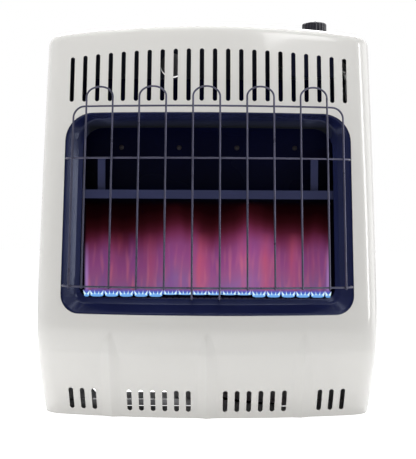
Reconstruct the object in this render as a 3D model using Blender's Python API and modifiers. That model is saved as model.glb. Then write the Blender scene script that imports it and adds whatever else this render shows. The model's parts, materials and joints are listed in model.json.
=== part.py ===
"""Vent-free propane heater, built as an assembly of separate pieces.

Metres, +Z up. The heater faces -Y, its knob side is +X, and the origin lies in the middle of
the base it stands on.
"""

import math

import bmesh
import bpy
from mathutils import Matrix, Vector

# Clearances and plate thicknesses
GAP = 0.0003
SHEET = 0.0010
CASING_WALL = 0.0012
BRACKET_SHEET = 0.0012

# Casing
CASING_WIDTH = 0.5375
CASING_HEIGHT = 0.6285
CASING_DEPTH = 0.235
PLAN_RADIUS = 0.850
CORNER_RADIUS = 0.040
ROLL_RADIUS = 0.018
ARCH_RADIUS = 2.7
WIDEST_Z = 0.1755
TOP_TAPER = 0.0045
BOTTOM_TAPER = 0.005
NOSE_Z = 0.1395
NOSE_ROUND = 0.030
LEAN = math.radians(12.5)
CREASE_DROP = 0.030
CREASE_DEPTH = 0.003
CREASE_SLOPE = 0.38
APRON_SETBACK = 0.065
RIB_SPACING = 0.150
RIB_WIDTH = 0.030
RIB_HEIGHT = 0.005
RIB_TIP_RISE = 0.002
RIB_TIP_LENGTH = 0.040

# Window in the casing, and its trim
WINDOW_SIDE_MARGIN = 0.04075
WINDOW_TOP_MARGIN = 0.145
WINDOW_BOTTOM_Z = 0.1685
WINDOW_TOP_RADIUS = 0.045
WINDOW_BOTTOM_RADIUS = 0.029
TRIM_LAP = 0.007
TRIM_SLOPE_SIDE = 0.020
TRIM_SLOPE_TOP = 0.007
TRIM_SLOPE_BOTTOM = 0.017
TRIM_DEPTH = 0.022
TRIM_LIP_SIDE = 0.007
TRIM_LIP_TOP = 0.016
TRIM_LIP_BOTTOM = 0.006
TRIM_LIP_FALL = 0.002

# Louvres above the window and vent slots below it
LOUVRE_COUNT = 22
LOUVRE_SIDE_MARGIN = 0.0493
LOUVRE_WIDTH = 0.0063
LOUVRE_ABOVE_WINDOW = 0.018
LOUVRE_TOP_MARGIN = 0.0415
LOUVRE_TOP_DROP = 0.0120
VENT_PITCH = 0.0185
VENT_WIDTH = 0.0062
VENT_BOTTOM_Z = 0.012
VENT_TOP_Z = 0.049
VENT_SIDE_MARGIN = 0.0727

# Rear panel and floor pan
FLANGE = 0.014
CUTOUT_SIDE_MARGIN = 0.0618
CUTOUT_WIDTH = 0.158
CUTOUT_BOTTOM_Z = 0.0115
CUTOUT_HEIGHT = 0.092
CUTOUT_SLANT = 0.014
LEAD_HOLE_X = -0.062
LEAD_HOLE_DROP = 0.051
LEAD_HOLE_RADIUS = 0.021
HANGER_SPACING = 0.300
HANGER_DROP = 0.153
HANGER_RADIUS = 0.006
PAN_THICKNESS = 0.0012
PAN_SLIT_SETBACK = 0.0675
PAN_SLIT_WIDTH = 0.012
PAN_SLITS = ((-0.140, 0.115), (0.119, 0.033))

# Firebox
FIREBOX_BACK_SPACE = 0.050
FIREBOX_BELOW_WINDOW = 0.013
FIREBOX_SIDE_ABOVE_WINDOW = 0.004
BAFFLE_BELOW_WINDOW_TOP = 0.1235
BAFFLE_DEPTH = 0.085
BAFFLE_LIP = 0.013
BAFFLE_TAB_INSET = 0.030
BAFFLE_TAB_SETBACK = 0.012
BAFFLE_TAB_HEIGHT = 0.050
BAFFLE_TAB_FLANGE = 0.012
SHELF_ABOVE_WINDOW_BOTTOM = 0.0115
FIREBOX_SCREW_DROP = 0.050
FIREBOX_SCREW_PITCH = 0.0973

# Burner
BURNER_END_SPACE = 0.013
BURNER_BACK_SPACE = 0.060
BURNER_WIDTH = 0.044
BURNER_HEIGHT = 0.034
BURNER_ABOVE_SHELF = 0.0055
BURNER_ROUND = 0.009
BURNER_OPENING = 0.004
BRACKET_REACH = 0.015
BRACKET_SIDE_SPACE = 0.004
PORT_COUNT = 36
PORT_WIDTH = 0.003
PORT_LENGTH = 0.026
PORT_DEPTH = 0.004
PORT_END_MARGIN = 0.010
MIXER_DROP = 0.017
MIXER_RADIUS = 0.0095
MIXER_MOUTH_RADIUS = 0.015
MIXER_WALL = 0.0015
INJECTOR_LENGTH = 0.012
INJECTOR_REACH = 0.006
HOLDER_SIZE = 0.015
HOLDER_SPACE = 0.009

# Pilot
PILOT_X = -0.145
PILOT_SPACE = 0.0375
PILOT_PITCH = 0.018
PILOT_PLATE_DROP = 0.0245
PILOT_STEM_RADIUS = 0.003
PILOT_STEM = 0.012

# Controls
KNOB_SIDE_SPACE = 0.09275
KNOB_BACK_SPACE = 0.063
KNOB_RADIUS = 0.0203
KNOB_RISE = 0.019
KNOB_HEIGHT = 0.032
KNOB_EDGE = 0.004
KNOB_CROWN = 0.001
KNOB_RIBS = 20
KNOB_RIB_RADIUS = 0.0017
KNOB_TRAVEL = 0.004
KNOB_HOLE_RADIUS = 0.0225
SPINDLE_RADIUS = 0.004
SPINDLE_SEAT = 0.010
SPINDLE_BORE = 0.022
PLUG_RADIUS = 0.009
PLUG_HEIGHT = 0.002
VALVE_WIDTH = 0.057
VALVE_DEPTH = 0.044
VALVE_HEIGHT = 0.0465
VALVE_NECK_RADIUS = 0.013
VALVE_NECK = 0.006
PORT_BOSS = 0.003
IGNITER_SPACING = 0.060
IGNITER_RADIUS = 0.009
IGNITER_LENGTH = 0.038
IGNITER_NECK_RADIUS = 0.006
IGNITER_NECK = 0.0085
IGNITER_BORE = 0.021
IGNITER_PLUNGER_RADIUS = 0.0035
IGNITER_BUTTON_RADIUS = 0.0075
IGNITER_BUTTON_HEIGHT = 0.013
IGNITER_NUT_RADIUS = 0.0095
IGNITER_NUT = 0.004
IGNITER_TRAVEL = 0.006
IGNITER_RISE = 0.006
BUTTON_HOLE_RADIUS = 0.0098
BRACKET_REACH_FRONT = 0.0245
BRACKET_LEFT_SPACE = 0.0125
BRACKET_RIGHT_SPACE = 0.008

# Regulator and gas line
REGULATOR_SIDE_SPACE = 0.0727
REGULATOR_Z = 0.060
REGULATOR_RADIUS = 0.034
REGULATOR_BODY = 0.0425
REGULATOR_CAP = 0.021
REGULATOR_PORT = 0.013
REGULATOR_BOSS = 0.0015
INLET_LENGTH = 0.030
INLET_PIPE = 0.0095
INLET_CHANNEL = 0.027
BURNER_PIPE = 0.008
PILOT_TUBE = 0.0045
PILOT_CHANNEL = 0.0145
THERMOCOUPLE_LEAD = 0.0025
LEAD_CHANNEL = 0.0055
IGNITION_CABLE = 0.005
CAPILLARY = 0.002
BULB_X = 0.000
BULB_Z = 0.090
BULB_BACK_SPACE = 0.0135
BULB_RADIUS = 0.004
BULB_LENGTH = 0.060
CLIP_WIDTH = 0.012

# Wire guard
WIRE = 0.003
GUARD_STAND = 0.0235
GUARD_LOOPS = 5
GUARD_SIDE_SPACE = 0.016
LOOP_SIDE_SPACE = 0.023
LOOP_SHIFT = -0.0025
LOOP_ABOVE_WINDOW = 0.0388
LOOP_ARCH = 0.016
HOOP_ABOVE_WINDOW = 0.008
HOOP_RADIUS = 0.018
MIDDLE_BAR_BELOW_WINDOW_TOP = 0.074
BOTTOM_BAR_ABOVE_WINDOW_BOTTOM = 0.0434
BAR_SIDE_SPACE = 0.0045
HOOK_DROP = 0.006

# Screws
SCREW_HEAD_RADIUS = 0.0042
SCREW_HEAD = 0.0022
SCREW_SHANK_RADIUS = 0.0016
SCREW_LENGTH = 0.0075
SCREW_HOLE_RADIUS = 0.0020
CASING_SCREW_LOW = 0.100
CASING_SCREW_DROP = 0.1285

# Worked out from the sizes above
NOSE_Y = -CASING_DEPTH / 2
REAR_Y = CASING_DEPTH / 2
CREASE_Z = NOSE_Z - CREASE_DROP
BEHIND_CASING = CASING_WALL * 1.1 + 2 * GAP
INSIDE_REAR_Y = REAR_Y - SHEET - GAP
WINDOW_WIDTH = CASING_WIDTH - 2 * WINDOW_SIDE_MARGIN
WINDOW_TOP_Z = CASING_HEIGHT - WINDOW_TOP_MARGIN
TRIM_INNER_TOP_Z = WINDOW_TOP_Z - TRIM_SLOPE_TOP - TRIM_LIP_TOP
TRIM_INNER_BOTTOM_Z = WINDOW_BOTTOM_Z + TRIM_SLOPE_BOTTOM + TRIM_LIP_BOTTOM
BEHIND_TRIM = BEHIND_CASING + TRIM_DEPTH + TRIM_LIP_FALL + SHEET + 2 * GAP
FIREBOX_HALF = WINDOW_WIDTH / 2 - TRIM_SLOPE_SIDE
FIREBOX_OUTSIDE = FIREBOX_HALF + SHEET
FIREBOX_BACK_Y = REAR_Y - FIREBOX_BACK_SPACE
FIREBOX_BOTTOM_Z = WINDOW_BOTTOM_Z - FIREBOX_BELOW_WINDOW
FIREBOX_SIDE_TOP_Z = WINDOW_TOP_Z + FIREBOX_SIDE_ABOVE_WINDOW
FIREBOX_SCREW_Z = WINDOW_TOP_Z - FIREBOX_SCREW_DROP
FIREBOX_SCREW_X = [FIREBOX_SCREW_PITCH * (k - 1.5) for k in range(4)]
BAFFLE_Z = WINDOW_TOP_Z - BAFFLE_BELOW_WINDOW_TOP
SHELF_Z = WINDOW_BOTTOM_Z + SHELF_ABOVE_WINDOW_BOTTOM
BURNER_LENGTH = 2 * (FIREBOX_HALF - BURNER_END_SPACE)
BURNER_Y = FIREBOX_BACK_Y - BURNER_BACK_SPACE
BURNER_TOP_Z = SHELF_Z + BURNER_ABOVE_SHELF
BURNER_BOTTOM_Z = BURNER_TOP_Z - BURNER_HEIGHT
MIXER_Z = BURNER_TOP_Z - MIXER_DROP
HOLDER_X = CASING_WIDTH / 2 - CASING_WALL - HOLDER_SPACE - HOLDER_SIZE / 2
PILOT_Y = BURNER_Y - PILOT_SPACE
PILOT_PLATE_Z = SHELF_Z - PILOT_PLATE_DROP
KNOB_X = CASING_WIDTH / 2 - KNOB_SIDE_SPACE
KNOB_Y = REAR_Y - KNOB_BACK_SPACE
KNOB_TOP_Z = CASING_HEIGHT - KNOB_X**2 / (2 * ARCH_RADIUS) + KNOB_RISE
KNOB_LOW_Z = KNOB_TOP_Z - KNOB_HEIGHT
PLUG_LOW_Z = KNOB_LOW_Z - KNOB_TRAVEL - 3 * GAP - PLUG_HEIGHT
VALVE_TOP_Z = PLUG_LOW_Z - GAP - VALVE_NECK
VALVE_BOTTOM_Z = VALVE_TOP_Z - VALVE_HEIGHT
VALVE_BASE_Z = VALVE_BOTTOM_Z - GAP - BRACKET_SHEET
FIREBOX_BACK_TOP_Z = VALVE_BASE_Z - GAP
IGNITER_X = KNOB_X - IGNITER_SPACING
IGNITER_TOP_Z = CASING_HEIGHT - IGNITER_X**2 / (2 * ARCH_RADIUS) + IGNITER_RISE
IGNITER_SHELF_Z = IGNITER_TOP_Z - IGNITER_BUTTON_HEIGHT - IGNITER_TRAVEL - 3 * GAP - IGNITER_NECK
BRACKET_LEFT_X = KNOB_X - VALVE_WIDTH / 2 - BRACKET_LEFT_SPACE
REGULATOR_X = CASING_WIDTH / 2 - REGULATOR_SIDE_SPACE
REGULATOR_SPLIT_Y = REAR_Y - REGULATOR_BODY
BULB_Y = REAR_Y - BULB_BACK_SPACE
LOUVRE_PITCH = (CASING_WIDTH - 2 * LOUVRE_SIDE_MARGIN) / (LOUVRE_COUNT - 1)
LOUVRE_BOTTOM_Z = WINDOW_TOP_Z + LOUVRE_ABOVE_WINDOW
LOUVRE_TOP_Z = CASING_HEIGHT - LOUVRE_TOP_MARGIN
VENT_OUTER_X = CASING_WIDTH / 2 - VENT_SIDE_MARGIN
VENT_GROUPS = ((-VENT_OUTER_X, 3), (-RIB_SPACING / 2, 6), (RIB_SPACING / 2, 6), (VENT_OUTER_X, 3))
LOOP_STAND = GUARD_STAND + WIRE + GAP
HOOP_HALF_WIDTH = WINDOW_WIDTH / 2 - GUARD_SIDE_SPACE
HOOP_TOP_Z = WINDOW_TOP_Z + HOOP_ABOVE_WINDOW
LOOP_TOP_Z = WINDOW_TOP_Z + LOOP_ABOVE_WINDOW
GUARD_PITCH = 2 * (HOOP_HALF_WIDTH - LOOP_SIDE_SPACE) / (2 * GUARD_LOOPS - 1)
BAR_END_X = WINDOW_WIDTH / 2 - BAR_SIDE_SPACE
MIDDLE_BAR_Z = WINDOW_TOP_Z - MIDDLE_BAR_BELOW_WINDOW_TOP
BOTTOM_BAR_Z = WINDOW_BOTTOM_Z + BOTTOM_BAR_ABOVE_WINDOW_BOTTOM
CASING_SCREW_Z = (CASING_SCREW_LOW, CASING_HEIGHT - CASING_SCREW_DROP)

PARTS = bpy.data.collections.new("vent_free_heater")
CUTTERS = bpy.data.collections.new("cutters")


# Casing surface

def front_depth(z):
    """How far the front's centre line stands behind its nose at height z."""
    rise = z - NOSE_Z
    if rise >= 0:
        return math.tan(LEAN) * (math.hypot(rise, NOSE_ROUND) - NOSE_ROUND)
    drop = CREASE_Z - z
    if drop <= 0:
        return CREASE_DEPTH * (rise / (NOSE_Z - CREASE_Z)) ** 2
    bend = (APRON_SETBACK - CREASE_DEPTH - CREASE_SLOPE * CREASE_Z) / CREASE_Z**2
    return CREASE_DEPTH + CREASE_SLOPE * drop + bend * drop**2


def plan_bow(x):
    return PLAN_RADIUS - math.sqrt(PLAN_RADIUS**2 - x**2)


def face_y(x, z):
    """The casing's outer front face, without its ribs."""
    return NOSE_Y + front_depth(z) + plan_bow(x)


def half_width(z):
    above = max(0.0, z - WIDEST_Z) / (CASING_HEIGHT - WIDEST_Z)
    below = max(0.0, WIDEST_Z - z) / WIDEST_Z
    return CASING_WIDTH / 2 - TOP_TAPER * above**2 - BOTTOM_TAPER * below**2


def top_z(x):
    return CASING_HEIGHT - x**2 / (2 * ARCH_RADIUS)


def rib_rise(x, z):
    """Height of the three pointed ribs that are pressed out of the apron."""
    reach = min(1.0, max(0.0, (NOSE_Z + RIB_TIP_RISE - z) / RIB_TIP_LENGTH))
    half = RIB_WIDTH / 2 * math.sqrt(reach)
    off = min(abs(x), abs(abs(x) - RIB_SPACING))
    return RIB_HEIGHT * reach * (1 - off / half) if off < half else 0.0


def front_columns():
    """Where the casing's columns stand on one half of the bowed front."""
    half = RIB_WIDTH / 2
    last = CASING_WIDTH / 2 - CORNER_RADIUS - 0.010
    inner = [half + (RIB_SPACING - 2 * half) * k / 4 for k in range(5)]
    outer = [RIB_SPACING + half + (last - RIB_SPACING - half) * k / 2 for k in range(3)]
    return [0.0] + inner + [RIB_SPACING] + outer


CORNER_STEPS = 5


def casing_column(index, z, inset):
    """Point of one column on the right half, with the outline drawn in by inset."""
    columns = front_columns()
    if index < len(columns):
        x = columns[index]
        sine = x / PLAN_RADIUS
        cosine = math.sqrt(1 - sine**2)
        y = face_y(x, z) - rib_rise(x, z)
        return x - inset * sine, y + inset * cosine
    corner_x = half_width(z) - CORNER_RADIUS
    reach = PLAN_RADIUS - CORNER_RADIUS
    corner_y = NOSE_Y + front_depth(z) + PLAN_RADIUS - math.sqrt(reach**2 - corner_x**2)
    step = index - len(columns)
    if step > CORNER_STEPS:
        return half_width(z) - inset, REAR_Y
    start = math.asin(corner_x / reach)
    angle = start + (math.pi / 2 - start) * step / CORNER_STEPS
    radius = CORNER_RADIUS - inset
    return corner_x + radius * math.sin(angle), corner_y - radius * math.cos(angle)


def column_count():
    return len(front_columns()) + CORNER_STEPS + 2


def wall_heights():
    """Heights of the casing's rows, closer together where the profile bends."""
    low = [CREASE_Z * k / 4 for k in range(4)]
    middle = [CREASE_Z - 0.006, CREASE_Z + 0.006, CREASE_Z + 0.020, NOSE_Z + RIB_TIP_RISE]
    start = NOSE_Z + 0.020
    end = CASING_HEIGHT - 0.055
    return low + middle + [start + (end - start) * (k / 8) ** 1.25 for k in range(9)]


ROLL_STEPS = 4


def roll_point(index, step, inset=0.0):
    """Point on the rolled top edge, which starts in line with the leaning front."""
    columns = front_columns()
    facing = 0.0
    if index < len(columns):
        facing = math.sqrt(1 - (columns[index] / PLAN_RADIUS) ** 2)
    elif index < column_count() - 1:
        start = math.asin((half_width(CASING_HEIGHT) - CORNER_RADIUS) / (PLAN_RADIUS - CORNER_RADIUS))
        facing = math.cos(start + (math.pi / 2 - start) * (index - len(columns)) / CORNER_STEPS)
    lean = LEAN * facing
    angle = lean + (math.pi / 2 - lean) * step / ROLL_STEPS
    drop = ROLL_RADIUS * (1 - math.sin(lean))
    outer_x = casing_column(index, CASING_HEIGHT - drop, 0.0)[0]
    inward = ROLL_RADIUS * (math.cos(lean) - math.cos(angle)) + inset * math.cos(angle)
    x, y = casing_column(index, top_z(outer_x) - drop, inward)
    outer = casing_column(index, top_z(outer_x) - drop, inward - inset * math.cos(angle))[0]
    return x, y, top_z(outer) - ROLL_RADIUS + (ROLL_RADIUS - inset) * math.sin(angle)


def casing_rows():
    """Rows of points over the whole casing, each from the left rear round the front to the right rear."""
    right = []
    for z in wall_heights():
        right.append([(*casing_column(k, z, 0.0), z) for k in range(column_count())])
    for step in range(ROLL_STEPS + 1):
        right.append([roll_point(k, step) for k in range(column_count())])
    return [[(-x, y, z) for x, y, z in reversed(row[1:])] + row for row in right]


# Making objects

def material(name, colour, roughness, metallic=0.0):
    found = bpy.data.materials.get(name)
    if found:
        return found
    made = bpy.data.materials.new(name)
    made.use_nodes = True
    shader = made.node_tree.nodes["Principled BSDF"]
    shader.inputs["Base Color"].default_value = (*colour, 1.0)
    shader.inputs["Roughness"].default_value = roughness
    shader.inputs["Metallic"].default_value = metallic
    return made


def white_enamel():
    return material("white_enamel", (0.66, 0.65, 0.62), 0.3)


def navy_enamel():
    return material("navy_enamel", (0.012, 0.014, 0.035), 0.2)


def dark_wire():
    return material("dark_wire", (0.05, 0.05, 0.07), 0.35, 0.5)


def bright_steel():
    return material("bright_steel", (0.45, 0.45, 0.45), 0.45, 0.9)


def black_plastic():
    return material("black_plastic", (0.012, 0.012, 0.012), 0.4)


def cast_aluminium():
    return material("cast_aluminium", (0.55, 0.55, 0.55), 0.5, 0.8)


def brass():
    return material("brass", (0.6, 0.43, 0.16), 0.3, 1.0)


def bare_tube():
    return material("bare_tube", (0.6, 0.58, 0.55), 0.3, 1.0)


def ceramic():
    return material("ceramic", (0.75, 0.73, 0.68), 0.4)


def place(name, mesh, finish, matrix=None, cutter=False):
    """Adds a named object, as a part or as a hidden cutter."""
    obj = bpy.data.objects.new(name, mesh)
    obj.matrix_world = matrix or Matrix.Identity(4)
    if cutter:
        CUTTERS.objects.link(obj)
        obj.hide_render = True
        obj.display_type = "WIRE"
    else:
        PARTS.objects.link(obj)
        mesh.materials.append(finish)
    return obj


def smooth(mesh, degrees=35):
    mesh.shade_smooth()
    mesh.set_sharp_from_angle(angle=math.radians(degrees))


def mesh_from(name, curve, matrix):
    """The curve's evaluated mesh, with its caps welded."""
    guide = bpy.data.objects.new(name + "_guide", curve)
    guide.matrix_world = matrix
    CUTTERS.objects.link(guide)
    bpy.context.view_layer.update()
    evaluated = guide.evaluated_get(bpy.context.evaluated_depsgraph_get())
    mesh = bpy.data.meshes.new_from_object(evaluated)
    bpy.data.objects.remove(guide)
    mesh.name = name
    shape = bmesh.new()
    shape.from_mesh(mesh)
    bmesh.ops.remove_doubles(shape, verts=shape.verts, dist=1e-6)
    bmesh.ops.recalc_face_normals(shape, faces=shape.faces)
    shape.to_mesh(mesh)
    shape.free()
    return mesh


def front_plane(y):
    """Outline (x, z), thickness along y, centred on y."""
    return Matrix(((1, 0, 0, 0), (0, 0, -1, y), (0, 1, 0, 0), (0, 0, 0, 1)))


def side_plane(x):
    """Outline (y, z), thickness along x, centred on x."""
    return Matrix(((0, 0, 1, x), (1, 0, 0, 0), (0, 1, 0, 0), (0, 0, 0, 1)))


def level_plane(z):
    """Outline (x, y), thickness along z, centred on z."""
    return Matrix.Translation((0, 0, z))


def plate(name, outlines, thickness, plane, finish=None, cutter=False):
    """A flat piece: the first outline is its edge, the others its holes."""
    curve = bpy.data.curves.new(name, "CURVE")
    curve.dimensions = "2D"
    curve.fill_mode = "BOTH"
    curve.extrude = thickness / 2
    for outline in outlines:
        spline = curve.splines.new("POLY")
        spline.points.add(len(outline) - 1)
        for point, (u, v) in zip(spline.points, outline):
            point.co = (u, v, 0.0, 1.0)
        spline.use_cyclic_u = True
    return place(name, mesh_from(name, curve, plane), finish, plane, cutter)


def box(name, low, high, finish=None, cutter=False, bevel=0.0):
    shape = bmesh.new()
    size = Vector(high) - Vector(low)
    middle = (Vector(high) + Vector(low)) / 2
    bmesh.ops.create_cube(shape, size=1.0, matrix=Matrix.Diagonal((*size, 1.0)))
    if bevel:
        bmesh.ops.bevel(shape, geom=shape.edges, offset=bevel, segments=2, affect="EDGES", profile=0.5)
    mesh = bpy.data.meshes.new(name)
    shape.to_mesh(mesh)
    shape.free()
    return place(name, mesh, finish, Matrix.Translation(middle), cutter)


def turned(name, profile, at, finish=None, axis="Z", steps=20, closed=False, cutter=False):
    """A profile of (radius, height) points, down its outer side, turned about an axis through at."""
    mesh = bpy.data.meshes.new(name)
    shape = bmesh.new()
    points = [shape.verts.new((radius, 0.0, height)) for radius, height in profile]
    for first, second in zip(points, points[1:]):
        shape.edges.new((first, second))
    if closed:
        shape.edges.new((points[-1], points[0]))
    shape.to_mesh(mesh)
    shape.free()
    turn = {"Z": Matrix(), "Y": Matrix.Rotation(math.pi / 2, 4, "X"), "X": Matrix.Rotation(math.pi / 2, 4, "Y")}
    obj = place(name, mesh, finish, Matrix.Translation(at) @ turn[axis], cutter)
    screw = obj.modifiers.new("turn", "SCREW")
    screw.steps = steps
    screw.render_steps = steps
    screw.use_merge_vertices = True
    screw.merge_threshold = 1e-5
    screw.use_smooth_shade = True
    return obj


def rod(name, radius, low, high, at, finish=None, axis="Z", steps=16, cutter=False):
    """A plain round bar between two places along its axis."""
    profile = ((0.0, high), (radius, high), (radius, low), (0.0, low))
    return turned(name, profile, at, finish, axis, steps, cutter=cutter)


def smooth_route(points, step=0.012):
    """Points along a smooth curve through the given ones, fewer where it is nearly straight."""
    knots = [Vector(point) for point in points]
    knots = [knots[0] * 2 - knots[1]] + knots + [knots[-1] * 2 - knots[-2]]
    route = []
    for before, start, end, after in zip(knots, knots[1:], knots[2:], knots[3:]):
        count = max(1, round((end - start).length / step))
        for k in range(count):
            t = k / count
            route.append(
                0.5 * (2 * start + (end - before) * t
                       + (2 * before - 5 * start + 4 * end - after) * t**2
                       + (3 * start - before - 3 * end + after) * t**3)
            )
    route.append(knots[-2])
    kept = [route[0], route[1]]
    for point, after in zip(route[2:], route[3:]):
        if (point - kept[-1]).angle(after - point) > math.radians(4) or point == route[-2]:
            kept.append(point)
    return kept + [route[-1]]


def wire(name, points, diameter, finish, sides=8):
    """A round wire or tube along the points."""
    curve = bpy.data.curves.new(name, "CURVE")
    curve.dimensions = "3D"
    curve.bevel_depth = diameter / 2
    curve.bevel_resolution = sides // 2 - 2
    curve.use_fill_caps = True
    spline = curve.splines.new("POLY")
    spline.points.add(len(points) - 1)
    for knot, point in zip(spline.points, points):
        knot.co = (*point, 1.0)
    mesh = mesh_from(name, curve, Matrix())
    smooth(mesh, 60)
    return place(name, mesh, finish)


def join(target, *others):
    for other in others:
        union = target.modifiers.new(other.name, "BOOLEAN")
        union.operation = "UNION"
        union.object = other
    return target


def cut(target, *cutters):
    for cutter in cutters:
        hole = target.modifiers.new(cutter.name, "BOOLEAN")
        hole.operation = "DIFFERENCE"
        hole.object = cutter
    return target


# Outlines

def circle(x, y, radius, steps=16):
    return [
        (x + radius * math.cos(2 * math.pi * k / steps), y + radius * math.sin(2 * math.pi * k / steps))
        for k in range(steps)
    ]


def rectangle(left, low, right, high):
    return [(left, low), (right, low), (right, high), (left, high)]


def upright_slot(x, low, high, width, steps=3):
    """Outline of a vertical slot with round ends."""
    radius = width / 2
    outline = []
    for centre, start in ((high - radius, 0.0), (low + radius, math.pi)):
        for k in range(steps + 1):
            angle = start + math.pi * k / steps
            outline.append((x + radius * math.cos(angle), centre + radius * math.sin(angle)))
    return outline


def keyhole_outline(x, z):
    """A round hole with a narrower slot up from it."""
    half = HANGER_RADIUS / 2
    top = z + 2.5 * HANGER_RADIUS
    start = math.asin(half / HANGER_RADIUS)
    outline = []
    for k in range(13):
        angle = math.pi / 2 + start + (2 * math.pi - 2 * start) * k / 12
        outline.append((x + HANGER_RADIUS * math.cos(angle), z + HANGER_RADIUS * math.sin(angle)))
    for k in range(5):
        angle = math.pi * k / 4
        outline.append((x + half * math.cos(angle), top + half * math.sin(angle)))
    return outline


def window_outline(inset=0.0, top=0.0, bottom=0.0, corner_steps=5, across=8, up=6):
    """The window's rounded outline in front view, with each side drawn in by its own amount."""
    half = WINDOW_WIDTH / 2 - inset
    low = WINDOW_BOTTOM_Z + bottom
    high = WINDOW_TOP_Z - top
    low_radius = WINDOW_BOTTOM_RADIUS * min(1.0, 1 - inset / 2 / WINDOW_BOTTOM_RADIUS)
    high_radius = WINDOW_TOP_RADIUS * min(1.0, 1 - inset / 2 / WINDOW_TOP_RADIUS)
    corners = (
        (half - low_radius, low + low_radius, low_radius, -math.pi / 2, up),
        (half - high_radius, high - high_radius, high_radius, 0.0, across),
        (high_radius - half, high - high_radius, high_radius, math.pi / 2, up),
        (low_radius - half, low + low_radius, low_radius, math.pi, across),
    )
    outline = []
    for index, (x, z, radius, start, straight) in enumerate(corners):
        for k in range(corner_steps + 1):
            angle = start + math.pi / 2 * k / corner_steps
            outline.append((x + radius * math.cos(angle), z + radius * math.sin(angle)))
        next_x, next_z, next_radius, next_start, _ = corners[(index + 1) % 4]
        end = (next_x + next_radius * math.cos(next_start), next_z + next_radius * math.sin(next_start))
        begin = outline[-1]
        for k in range(1, straight):
            part = k / straight
            outline.append((begin[0] + (end[0] - begin[0]) * part, begin[1] + (end[1] - begin[1]) * part))
    return outline


# Casing and trim

def louvre_outlines():
    last = LOUVRE_PITCH * (LOUVRE_COUNT - 1) / 2
    outlines = []
    for k in range(LOUVRE_COUNT):
        x = LOUVRE_PITCH * k - last
        top = LOUVRE_TOP_Z - LOUVRE_TOP_DROP * (x / last) ** 2
        outlines.append(upright_slot(x, LOUVRE_BOTTOM_Z, top, LOUVRE_WIDTH))
    return outlines


def vent_outlines():
    outlines = []
    for centre, count in VENT_GROUPS:
        for k in range(count):
            x = centre + VENT_PITCH * (k - (count - 1) / 2)
            outlines.append(upright_slot(x, VENT_BOTTOM_Z, VENT_TOP_Z, VENT_WIDTH))
    return outlines


def make_front_casing():
    shape = bmesh.new()
    rows = [[shape.verts.new(point) for point in row] for row in casing_rows()]
    for lower, upper in zip(rows, rows[1:]):
        for k in range(len(lower) - 1):
            shape.faces.new((lower[k], lower[k + 1], upper[k + 1], upper[k]))
    rim = rows[-1]
    front = rim[1:-1]
    rear = [rim[0]]
    for vert in front[1:-1]:
        rear.append(shape.verts.new((vert.co.x, REAR_Y, vert.co.z)))
    rear.append(rim[-1])
    for k in range(len(front) - 1):
        shape.faces.new((front[k], front[k + 1], rear[k + 1], rear[k]))
    mesh = bpy.data.meshes.new("front_casing")
    shape.to_mesh(mesh)
    shape.free()
    smooth(mesh, 50)
    casing = place("front_casing", mesh, white_enamel())
    wall = casing.modifiers.new("wall", "SOLIDIFY")
    wall.thickness = CASING_WALL
    wall.offset = -1.0
    wall.use_even_offset = True
    reach = 0.200
    window_back = face_y(WINDOW_WIDTH / 2, WINDOW_TOP_Z) + 10 * CASING_WALL
    louvre_back = face_y(LOUVRE_PITCH * LOUVRE_COUNT / 2, LOUVRE_TOP_Z) + 8 * CASING_WALL
    vent_back = face_y(VENT_GROUPS[-1][0], VENT_BOTTOM_Z) + 0.020
    cutters = (
        plate("window_cutter", [window_outline()], reach, front_plane(window_back - reach / 2), cutter=True),
        plate("louvre_cutter", louvre_outlines(), reach, front_plane(louvre_back - reach / 2), cutter=True),
        plate("vent_cutter", vent_outlines(), reach, front_plane(vent_back - reach / 2), cutter=True),
        rod(
            "knob_cutter", KNOB_HOLE_RADIUS, -0.02, 0.02, (KNOB_X, KNOB_Y, top_z(KNOB_X)),
            steps=28, cutter=True,
        ),
        rod(
            "button_cutter", BUTTON_HOLE_RADIUS, -0.02, 0.02, (IGNITER_X, KNOB_Y, top_z(IGNITER_X)),
            cutter=True,
        ),
    )
    return cut(casing, *cutters, *screw_hole_cutters("casing"))


def trim_loop(inset, top, bottom, behind):
    return [
        (x, face_y(x, z) + BEHIND_CASING + behind, z)
        for x, z in window_outline(inset, top, bottom)
    ]


def make_window_trim():
    """Dark frame behind the window: a flat lap, a slope inwards and a narrow inner lip."""
    side, top, bottom = TRIM_SLOPE_SIDE, TRIM_SLOPE_TOP, TRIM_SLOPE_BOTTOM
    loops = (
        trim_loop(-TRIM_LAP, -TRIM_LAP, -TRIM_LAP, 0.0),
        trim_loop(0.002, 0.002, 0.002, 0.0),
        trim_loop(side, top, bottom, TRIM_DEPTH),
        trim_loop(
            side + TRIM_LIP_SIDE, top + TRIM_LIP_TOP, bottom + TRIM_LIP_BOTTOM, TRIM_DEPTH + TRIM_LIP_FALL
        ),
    )
    shape = bmesh.new()
    rings = [[shape.verts.new(point) for point in loop] for loop in loops]
    for outer, inner in zip(rings, rings[1:]):
        for k in range(len(outer)):
            after = (k + 1) % len(outer)
            shape.faces.new((outer[k], outer[after], inner[after], inner[k]))
    mesh = bpy.data.meshes.new("window_trim")
    shape.to_mesh(mesh)
    shape.free()
    smooth(mesh, 30)
    trim = place("window_trim", mesh, navy_enamel())
    wall = trim.modifiers.new("wall", "SOLIDIFY")
    wall.thickness = SHEET
    wall.offset = -1.0
    return trim


def screw_hole_cutters(owner):
    return [
        rod(f"{owner}_screw_cutter_{k}", SCREW_HOLE_RADIUS, -0.3, 0.3, (0, REAR_Y - FLANGE / 2, z), axis="X",
            steps=8, cutter=True)
        for k, z in enumerate(CASING_SCREW_Z)
    ]


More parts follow.
